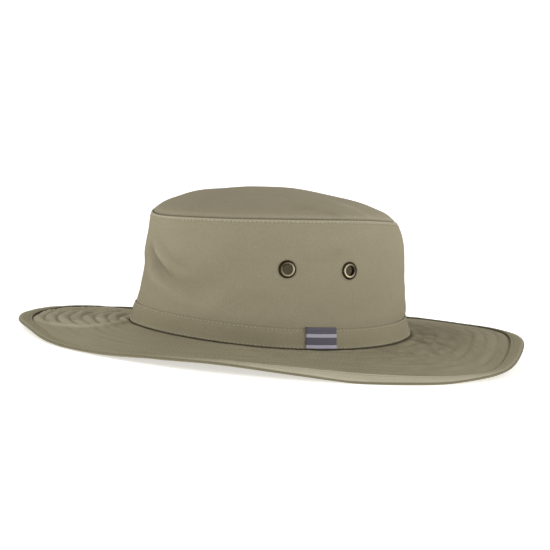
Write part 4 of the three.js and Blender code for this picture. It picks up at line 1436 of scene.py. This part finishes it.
# distance in from the strip's edge, height above its plain face: a lip, a dip at the stitches
BINDING_LIP = [
    (0.0, -0.3), (0.05, -0.05), (0.25, 0.14), (0.7, 0.16), (BIND_STITCH - 0.5, 0.02),
    (BIND_STITCH, -0.2), (BIND_STITCH + 0.5, -0.05), (2.9, 0.03), (4.2, 0.04), (5.6, 0.03),
    (7.0, 0.02), (8.3, 0.0),
]
nose_turn = np.radians([78, 62, 46, 30, 12])
half_loop = [(far, BINDING_INSIDE) for far in (BRIM_WIDTH - 1.5, BINDING_START + 5, BINDING_START)]
half_loop += [(BINDING_START + at, BINDING_OUTSIDE + dip) for at, dip in BINDING_LIP]
half_loop += [(BRIM_WIDTH - NOSE_RADIUS + NOSE_RADIUS * math.cos(a), BINDING_OUTSIDE * math.sin(a))
              for a in nose_turn]
half_loop = np.array(half_loop)
loop = np.concatenate([half_loop, half_loop[::-1] * (1, -1)])
far, lift = loop[:, 0], loop[:, 1]
print("binding's section:", len(loop), "points")

# %% The finished binding
BIND_STATIONS = 900
BIND_MAP_RADIUS = 172
RIPPLE, RIPPLE_CELLS, RIPPLE_REACH = 0.16, 260, 2.2
WAVE = 0.10
NOSE_WEAR, LEFT_PAINTED_LIGHT = 0.5, 0.75
LEFT_LIGHT_AT, LEFT_LIGHT_HALF, LEFT_LIGHT_FADE = 95, 22, 18
bind_bearings = np.arange(BIND_STATIONS) * 360 / BIND_STATIONS
bearings = np.broadcast_to(bind_bearings, (len(far), BIND_STATIONS))
out_along = np.broadcast_to(far[:, None], bearings.shape)
outer_side = (np.abs(lift) - BINDING_INSIDE) / (BINDING_OUTSIDE - BINDING_INSIDE)
outer_side = np.clip(outer_side, 0, 1)[:, None]
near_stitch = np.exp(-((far - BINDING_START - BIND_STITCH) / RIPPLE_REACH) ** 2)[:, None]
side = np.sign(lift)[:, None]
ripple = RIPPLE * near_stitch * rumple(bearings / 360, side * 3.0, RIPPLE_CELLS, 20)
ripple = ripple + WAVE * rumple(bearings / 360, side * 2.0 + far[:, None] / 9, 90, 21)
# the way out of the brim leads down, so side is -1 on the top, which alone stands proud
proud = (side < 0) * smooth(PROUD_ROWS, 1, bearings, 360)
proud = proud * np.clip((BRIM_WIDTH - far[:, None]) / 6, 0.2, 1)
lifts = lift[:, None] + side * outer_side * (ripple + proud)
section = lifted(sewn_brim, bearings, out_along, lifts)
start_edge = np.abs(out_along - BINDING_START)
nose_edge = np.clip((out_along - (BRIM_WIDTH - 3.2)) / 3.0, 0, 1)
# painted light: the binding paler along the left
past_left_light = np.clip(np.abs(wrapped(bearings - LEFT_LIGHT_AT)) - LEFT_LIGHT_HALF, 0, None)
painted_light_left = np.exp(-(past_left_light / LEFT_LIGHT_FADE) ** 2)
# painted shade at the step along the binding's inner edge
step_shade = np.exp(-(start_edge / 0.3) ** 2) * smooth(STEP_SHADE_ROWS, 1, bearings, 360)
binding_wear_and_light = NOSE_WEAR * nose_edge * outer_side + LEFT_PAINTED_LIGHT * outer_side * painted_light_left
# painted shade also on the binding's hidden inner faces
bind_masks = {
    "shade_and_patina": np.clip(step_shade + (1 - outer_side) * 0.6, 0, 1),
    "wear_and_painted_light": np.clip(binding_wear_and_light, 0, 1),
}
run = np.arange(BIND_STATIONS + 1) * (2 * math.pi * BIND_MAP_RADIUS / BIND_STATIONS)
steps = np.hypot(np.diff(far, append=far[0]), np.diff(lift, append=lift[0]))
round_section = np.append(0, np.cumsum(steps))[:, None]
bind_map = np.stack(np.broadcast_arrays(run[None, :], round_section), -1)
brim_binding_cloth = carried_round("brim_binding_cloth", section, bind_map, bind_masks)
finished(brim_binding_cloth, binding_twill, "binding_cloth", "brim_binding")

# %% [markdown]
# ## Stitches
#
# Every stitch is a short length of thread that rises out of one needle hole and dives into
# the next. Each is a small swelling tube of five rings, half sunk in the cloth. A row walks
# along its seam line and drops a stitch at each step, with a little unevenness, as a busy
# machinist would sew.

# %% Stitch maker
THREAD = 0.42
STITCH_PITCH = 3.0


def stitch_rows(name, lines, pitch=STITCH_PITCH, length=2.35, thread=THREAD, seed=0):
    """lines is a list of (points, normals) round the hat. Makes one mesh of all their stitches."""
    ring_t = np.array([-1.0, -0.6, 0.0, 0.6, 1.0])
    ring_r = np.array([0.25, 0.85, 1.0, 0.85, 0.25])
    rings, sides = len(ring_t), 6
    angles = np.arange(sides) * np.pi / 3
    points, faces = [], []
    wobble = np.random.default_rng(seed)
    for line, normal in lines:
        steps = np.linalg.norm(np.diff(line, axis=0, append=line[:1]), axis=1)
        at = np.concatenate([[0], np.cumsum(steps)])
        total, count = at[-1], int(round(at[-1] / pitch))
        middle = (np.arange(count) + 0.5) * total / count + wobble.uniform(-0.12, 0.12, count)
        spots = np.mod(middle[:, None] + ring_t * length / 2, total)
        closed, closed_normal = np.vstack([line, line[:1]]), np.vstack([normal, normal[:1]])
        centre = np.stack([np.interp(spots, at, closed[:, i]) for i in range(3)], -1)
        up = np.stack([np.interp(spots, at, closed_normal[:, i]) for i in range(3)], -1)
        up /= np.linalg.norm(up, axis=-1, keepdims=True)
        ahead = centre[:, -1:] - centre[:, :1]
        ahead /= np.linalg.norm(ahead, axis=-1, keepdims=True)
        across = np.cross(np.broadcast_to(ahead, up.shape), up)
        across += ahead * wobble.uniform(-0.05, 0.05, (count, 1, 1))
        centre = centre + up * (thread * (0.42 * (1 - ring_t**2) - 0.22))[None, :, None]
        swell = (ring_r * thread / 2)[None, :, None, None]
        tube = centre[:, :, None] + swell * (
            across[:, :, None] * np.cos(angles)[None, None, :, None] * 1.15
            + up[:, :, None] * np.sin(angles)[None, None, :, None])
        base = sum(len(p) for p in points)
        points.append(tube.reshape(-1, 3))
        for s in range(count):
            first = base + s * rings * sides
            last = first + (rings - 1) * sides
            for ring in range(rings - 1):
                for k in range(sides):
                    a = first + ring * sides + k
                    b = first + ring * sides + (k + 1) % sides
                    faces.append([a, b, b + sides, a + sides])
            faces.append([first + k for k in reversed(range(sides))])
            faces.append([last + k for k in range(sides)])
    return new_mesh(name, np.concatenate(points), faces)


FINE_STATIONS = 1440
fine_bearings = np.arange(FINE_STATIONS) * 360 / FINE_STATIONS
print("stitch pitch", STITCH_PITCH, "mm, thread", THREAD, "mm")

# %% Topstitching round the crown
# how far the thread pulls down into the turnings, a little less than the cloth's groove
THREAD_PULL = 0.24
share = 1 - TOPSTITCH / (seam_height(fine_bearings) - foot_height(fine_bearings))
out = outward(wall, fine_bearings, share)
lift = TURNING_PROUD - THREAD_PULL + back_seam_dip(fine_bearings)
seat = crown_wall(fine_bearings, share) + out * lift[..., None]
crown_topstitch = stitch_rows("crown_topstitch", [(seat, out)], thread=0.5, seed=1)
finished(crown_topstitch, pale_thread, "crown_cloth")

# %% Two rows along the band
band_lines = []
for height in BAND_SEAMS:
    level = np.full_like(fine_bearings, height)
    share = share_at(fine_bearings, level)
    lift = GAP + BAND_THICK * band_bulk(height) - 0.2 + band_pucker(fine_bearings, level)
    lift = lift + band_flare(fine_bearings, level) + band_wave(fine_bearings, level)
    band_lines.append((lifted(wall, fine_bearings, share, lift), outward(wall, fine_bearings, share)))
hat_band_stitches = stitch_rows("hat_band_stitches", band_lines, length=2.2, thread=0.38, seed=2)
finished(hat_band_stitches, pale_thread, "band_cloth")

# %% Rings of stitches on the brim, above and below
for face, label in ((0, "brim_ring_stitches_under"), (1, "brim_ring_stitches_top")):
    sign, lines = 2 * face - 1, []
    for ring in range(1, RING_COUNT):
        far = np.full_like(fine_bearings, ring * RING_SPACING)
        rise = BRIM_THICK / 2 + quilting(fine_bearings, far, face) - 0.04
        out = outward(sewn_brim, fine_bearings, far) * -sign
        lines.append((off_brim(fine_bearings, far, sign * rise), out))
    rings = stitch_rows(label, lines, pitch=3.2, length=2.3, thread=0.36, seed=3 + face)
    finished(rings, tonal_thread, "brim_cloth")

# %% Stitches that hold the binding
lines = []
far = np.full_like(fine_bearings, BINDING_START + BIND_STITCH)
for sign in (1, -1):
    out = outward(sewn_brim, fine_bearings, far) * sign
    drawn_in = rumple(fine_bearings / 360, sign * 3.0 + 0 * far, RIPPLE_CELLS, 20)
    rise = BINDING_OUTSIDE - 0.17 + RIPPLE * drawn_in
    rise = rise + (sign < 0) * smooth(PROUD_ROWS, 1, fine_bearings, 360)
    lines.append((lifted(sewn_brim, fine_bearings, far, sign * rise), out))
binding_stitches = stitch_rows("binding_stitches", lines, length=2.2, thread=0.36, seed=5)
finished(binding_stitches, tonal_thread, "binding_cloth")

# %% [markdown]
# ## The eyelets
#
# A brass eyelet is a short tube pushed through a punched hole, with a washer outside. A
# press curls the tube's end over into a smooth roll. Each one is a lathe section turned about
# its axis: bore, bright roll, dished washer, outer rim, and the flange inside the crown. The
# press left each roll a little off centre, and painted shade darkens each roll on one side.

# %% Rolled eyelets
# radius, height off the cloth, how dark (1 is darkest): dark finish in recesses, painted shade at the rim
EYELET_SECTION = [
    (3.35, -1.2, 0.7), (3.32, -0.2, 0.7), (3.38, 0.35, 0.6), (3.55, 0.75, 0.35), (3.85, 0.98, 0.15),
    (4.2, 1.05, 0.05), (4.6, 0.98, 0.05), (4.9, 0.85, 0.2), (5.2, 0.62, 0.5), (5.5, 0.5, 0.75),
    (5.9, 0.4, 0.9), (6.1, 0.25, 1.0),
    (6.3, 0.0, 1.0), (6.25, -0.1, 1.0), (4.0, -0.1, 1.0), (4.0, -1.62, 1.0), (5.5, -1.62, 0.9),
    (5.66, -1.78, 0.8), (5.55, -2.0, 0.6), (5.2, -2.12, 0.5), (4.2, -2.2, 0.6), (3.6, -2.1, 0.8),
    (3.38, -1.8, 0.8),
]
# radius within which the roll lies, and how much painted shade dulls the side away from its bright side
ROLL_REACH, ROLL_SIDE_SHADE = 5.1, 0.55
SPIN = 64
table = np.array(EYELET_SECTION)
angles = np.arange(SPIN) * 2 * np.pi / SPIN
for name, side, back, off_centre, bright_side_at in EYELETS:
    centre, normal = eyelet_seat(side, back)
    right, upward = eyelet_axes(normal)
    ring = np.cos(angles)[:, None] * right + np.sin(angles)[:, None] * upward
    grid = centre + table[:, 0, None, None] * ring[None] + table[:, 1, None, None] * normal
    grid[table[:, 0] < ROLL_REACH] += right * off_centre
    flat = np.zeros((len(table) + 1, SPIN + 1, 2))
    # painted shade on the side of each roll away from its bright side
    side_shade = ROLL_SIDE_SHADE * (0.5 - 0.5 * np.cos(angles - math.radians(bright_side_at))) ** 1.5
    shelter = np.clip(table[:, 2:3] + side_shade, 0, 1)
    eyelet = carried_round(name + "_brass", grid, flat, {"shade_and_patina": shelter})
    finished(eyelet, antique_brass, "eyelet_brass", name)

# %% [markdown]
# ## The woven loop
#
# A strip of ribbon folded over the band and sewn into both of its edges. It lies over the
# band's face as a soft plate with a fold at its top. Its stripes are plain.

# %% Woven loop on the band
LABEL_WIDTH, LABEL_THICK, LABEL_LIP = 23.5, 0.9, 1.3
LABEL_MIDDLE = 91.1
LABEL_COLUMNS = 45
half_turn = math.degrees(math.asin(LABEL_WIDTH / 2 / HEAD["front"]))
columns = LABEL_MIDDLE + np.linspace(-half_turn, half_turn, LABEL_COLUMNS)
lift_inside = GAP + BAND_THICK + 0.1
profile = [(0.5, lift_inside), (0.45, lift_inside + LABEL_THICK)]
profile += [(h, lift_inside + LABEL_THICK) for h in np.linspace(1.5, BAND_HEIGHT - 0.4, 18)]
profile += [(BAND_HEIGHT + 0.5, lift_inside + 0.75), (BAND_HEIGHT + 1.0, lift_inside + 0.3),
            (BAND_HEIGHT + LABEL_LIP, 1.0), (BAND_HEIGHT + LABEL_LIP, 0.35),
            (BAND_HEIGHT + 0.25, 0.35), (BAND_HEIGHT + 0.25, lift_inside)]
profile += [(h, lift_inside) for h in np.linspace(BAND_HEIGHT - 0.6, 1.5, 6)]
profile = np.array(profile)
bearing, height = np.meshgrid(columns, profile[:, 0])
lift = np.broadcast_to(profile[:, 1:2], height.shape).copy()
front = profile[:, 1:2] > lift_inside + 0.2
across = np.linspace(-1, 1, LABEL_COLUMNS)[None, :]
lift += front * (0.18 * (1 - across**2) - 0.35 * np.abs(across) ** 12)
grid = lifted(wall, bearing, share_at(bearing, height), lift)
print("the loop's section:", len(profile), "points,", LABEL_COLUMNS, "across")

# %% Faces of the loop
rows, width = grid.shape[:2]
points = grid.reshape(-1, 3)
faces, maps = [], []
spread = np.linspace(0, LABEL_WIDTH, width)
for k in range(rows):
    for n in range(width - 1):
        k1 = (k + 1) % rows
        faces.append([k * width + n, k * width + n + 1, k1 * width + n + 1, k1 * width + n])
        maps += [(spread[n], profile[k, 0]), (spread[n + 1], profile[k, 0]),
                 (spread[n + 1], profile[k1, 0]), (spread[n], profile[k1, 0])]
for n in (0, width - 1):
    rim = [k * width + n for k in range(rows)]
    faces.append(rim if n == 0 else rim[::-1])
    maps += [(0, 0)] * rows
faces, maps = facing_out(points, faces, maps)
# painted shade on its hidden inner face, and a painted shadow in a thin line along its edge toward the
# front
shelter = (1 - front * 1.0) * 0.8 + 0.7 * np.exp(-((across + 1) / 0.04) ** 2) + 0 * height
woven_label = new_mesh("woven_label", points, faces, maps, {"shade_and_patina": np.clip(shelter, 0, 1)})
finished(woven_label, woven_ribbon, "label_weave", "label")

# %% [markdown]
# ## The table
#
# The hat lies on a white table whose surface glows as painted light, standing in for an acrylic
# table lit from below, as for a catalogue. Its glow grows toward the far end, so the ground
# stays white and the hat still casts a faint shadow. The glow also lights the hat from below.

# %% Floor
FLOOR_HALF = 30.0
# distance from the hat in metres where the table's own light starts and stops growing
GLOW_NEAR, GLOW_FAR = 0.3, 2.5
floor_mesh = bpy.data.meshes.new("floor")
corners = [(-1, -1), (1, -1), (1, 1), (-1, 1)]
floor_mesh.from_pydata([(x * FLOOR_HALF, y * FLOOR_HALF, 0) for x, y in corners], [], [(0, 1, 2, 3)])
floor = bpy.data.objects.new("floor", floor_mesh)
bpy.context.scene.collection.objects.link(floor)
# painted light: the table glows by its own emission, growing away from the hat
acrylic, acrylic_tree, acrylic_shader = new_material(
    "glowing_white_table", Base_Color=linear("#f2f2f0"), Roughness=0.9, Specular_IOR_Level=0.1,
    Emission_Color=linear("#ffffff"))
floor_place = add(acrylic_tree, "ShaderNodeTexCoord").outputs["Object"]
from_hat = add(acrylic_tree, "ShaderNodeVectorMath", {0: floor_place}, operation="LENGTH")
floor_glow = add(acrylic_tree, "ShaderNodeMapRange",
            {"Value": from_hat.outputs["Value"], "From Min": GLOW_NEAR, "From Max": GLOW_FAR,
             "To Min": 0.52, "To Max": 0.75}, interpolation_type="SMOOTHSTEP")
acrylic_tree.links.new(floor_glow.outputs[0], acrylic_shader.inputs["Emission Strength"])
floor_mesh.materials.append(acrylic)
print("floor at z = 0")

# %% [markdown]
# ## The light
#
# Three softboxes stand low round the hat's left and two higher up, and a plain white room is
# brighter near the horizon. Low light rakes the brim, which shows its quilting, and leaves
# the wall of the crown a little lighter than its top. The strengths started from a mix that a
# program fitted, and were then adjusted.

# %% Room and softboxes
world = bpy.data.worlds.new("studio")
bpy.context.scene.world = world
world.use_nodes = True
sky = world.node_tree
sky.nodes.clear()
way = add(sky, "ShaderNodeTexCoord").outputs["Generated"]
height = add(sky, "ShaderNodeSeparateXYZ", {0: way}).outputs["Z"]
level = add(sky, "ShaderNodeMapRange", {"Value": height, "From Min": 0.12, "From Max": 0.3,
                                        "To Min": 1.05, "To Max": 0.5},
            interpolation_type="SMOOTHSTEP").outputs[0]
glow = add(sky, "ShaderNodeBackground", {"Color": linear("#ffffff"), "Strength": level})
add(sky, "ShaderNodeOutputWorld", {"Surface": glow.outputs[0]})
LAMP_DISTANCE, LAMP_SIZE, LAMP_AIM = 2.4, 1.2, 0.06
# name, azimuth from the front (-Y) toward the wearer's left, elevation, watts
SOFTBOXES = [
    ("left_softbox", 10, 12, 9),
    ("middle_softbox", 55, 12, 6),
    ("right_softbox", 142, 12, 17),
    ("high_softbox", -20, 45, 14),
    ("high_right_softbox", 170, 45, 8),
]
for name, azimuth, elevation, watts in SOFTBOXES:
    lamp = bpy.data.lights.new(name, "AREA")
    lamp.size, lamp.energy = LAMP_SIZE, watts
    a, e = math.radians(azimuth), math.radians(elevation)
    back = Vector((math.sin(a) * math.cos(e), -math.cos(a) * math.cos(e), math.sin(e)))
    body = bpy.data.objects.new(name, lamp)
    body.location = Vector((0, 0, LAMP_AIM)) + back * LAMP_DISTANCE
    body.rotation_euler = back.to_track_quat("Z", "Y").to_euler()
    bpy.context.scene.collection.objects.link(body)

# %% [markdown]
# ## The camera
#
# The camera stands low, to the hat's left and ahead of it, a metre and a half away, and is
# rolled a little. A long lens keeps the brim's ends from looking stretched. The two small
# shifts frame the hat without turning the camera.

# %% Camera
CAMERA_LIFT, CAMERA_TURN, CAMERA_ROLL = math.radians(7.5), math.radians(22.3), math.radians(3.81)
CAMERA_DISTANCE, LENS, SENSOR = 1500.0, 133.6, 36.0
SHIFT_RIGHT, SHIFT_UP = 0.0056, 0.0927
cos_turn, sin_turn = math.cos(CAMERA_TURN), math.sin(CAMERA_TURN)
cos_lift, sin_lift = math.cos(CAMERA_LIFT), math.sin(CAMERA_LIFT)
back = Vector((cos_turn * cos_lift, -sin_turn * cos_lift, sin_lift))
level_right = Vector((sin_turn, cos_turn, 0))
level_up = Vector((-cos_turn * sin_lift, sin_turn * sin_lift, cos_lift))
right = level_right * math.cos(CAMERA_ROLL) + level_up * math.sin(CAMERA_ROLL)
up = level_up * math.cos(CAMERA_ROLL) - level_right * math.sin(CAMERA_ROLL)
lens = bpy.data.cameras.new("camera")
lens.lens, lens.sensor_width = LENS, SENSOR
lens.shift_x, lens.shift_y = SHIFT_RIGHT, SHIFT_UP
camera = bpy.data.objects.new("camera", lens)
to_frame = Matrix(tilt.tolist()).to_4x4()
axes = Matrix([[right[i], up[i], back[i]] for i in range(3)]).to_4x4()
place = Matrix.Translation(Vector(set_down(np.array(back) * CAMERA_DISTANCE)))
camera.matrix_world = place @ to_frame @ axes
bpy.context.scene.collection.objects.link(camera)
bpy.context.scene.camera = camera
bpy.context.scene.view_settings.view_transform = "Standard"
print("camera at", [round(v, 3) for v in camera.matrix_world.translation])
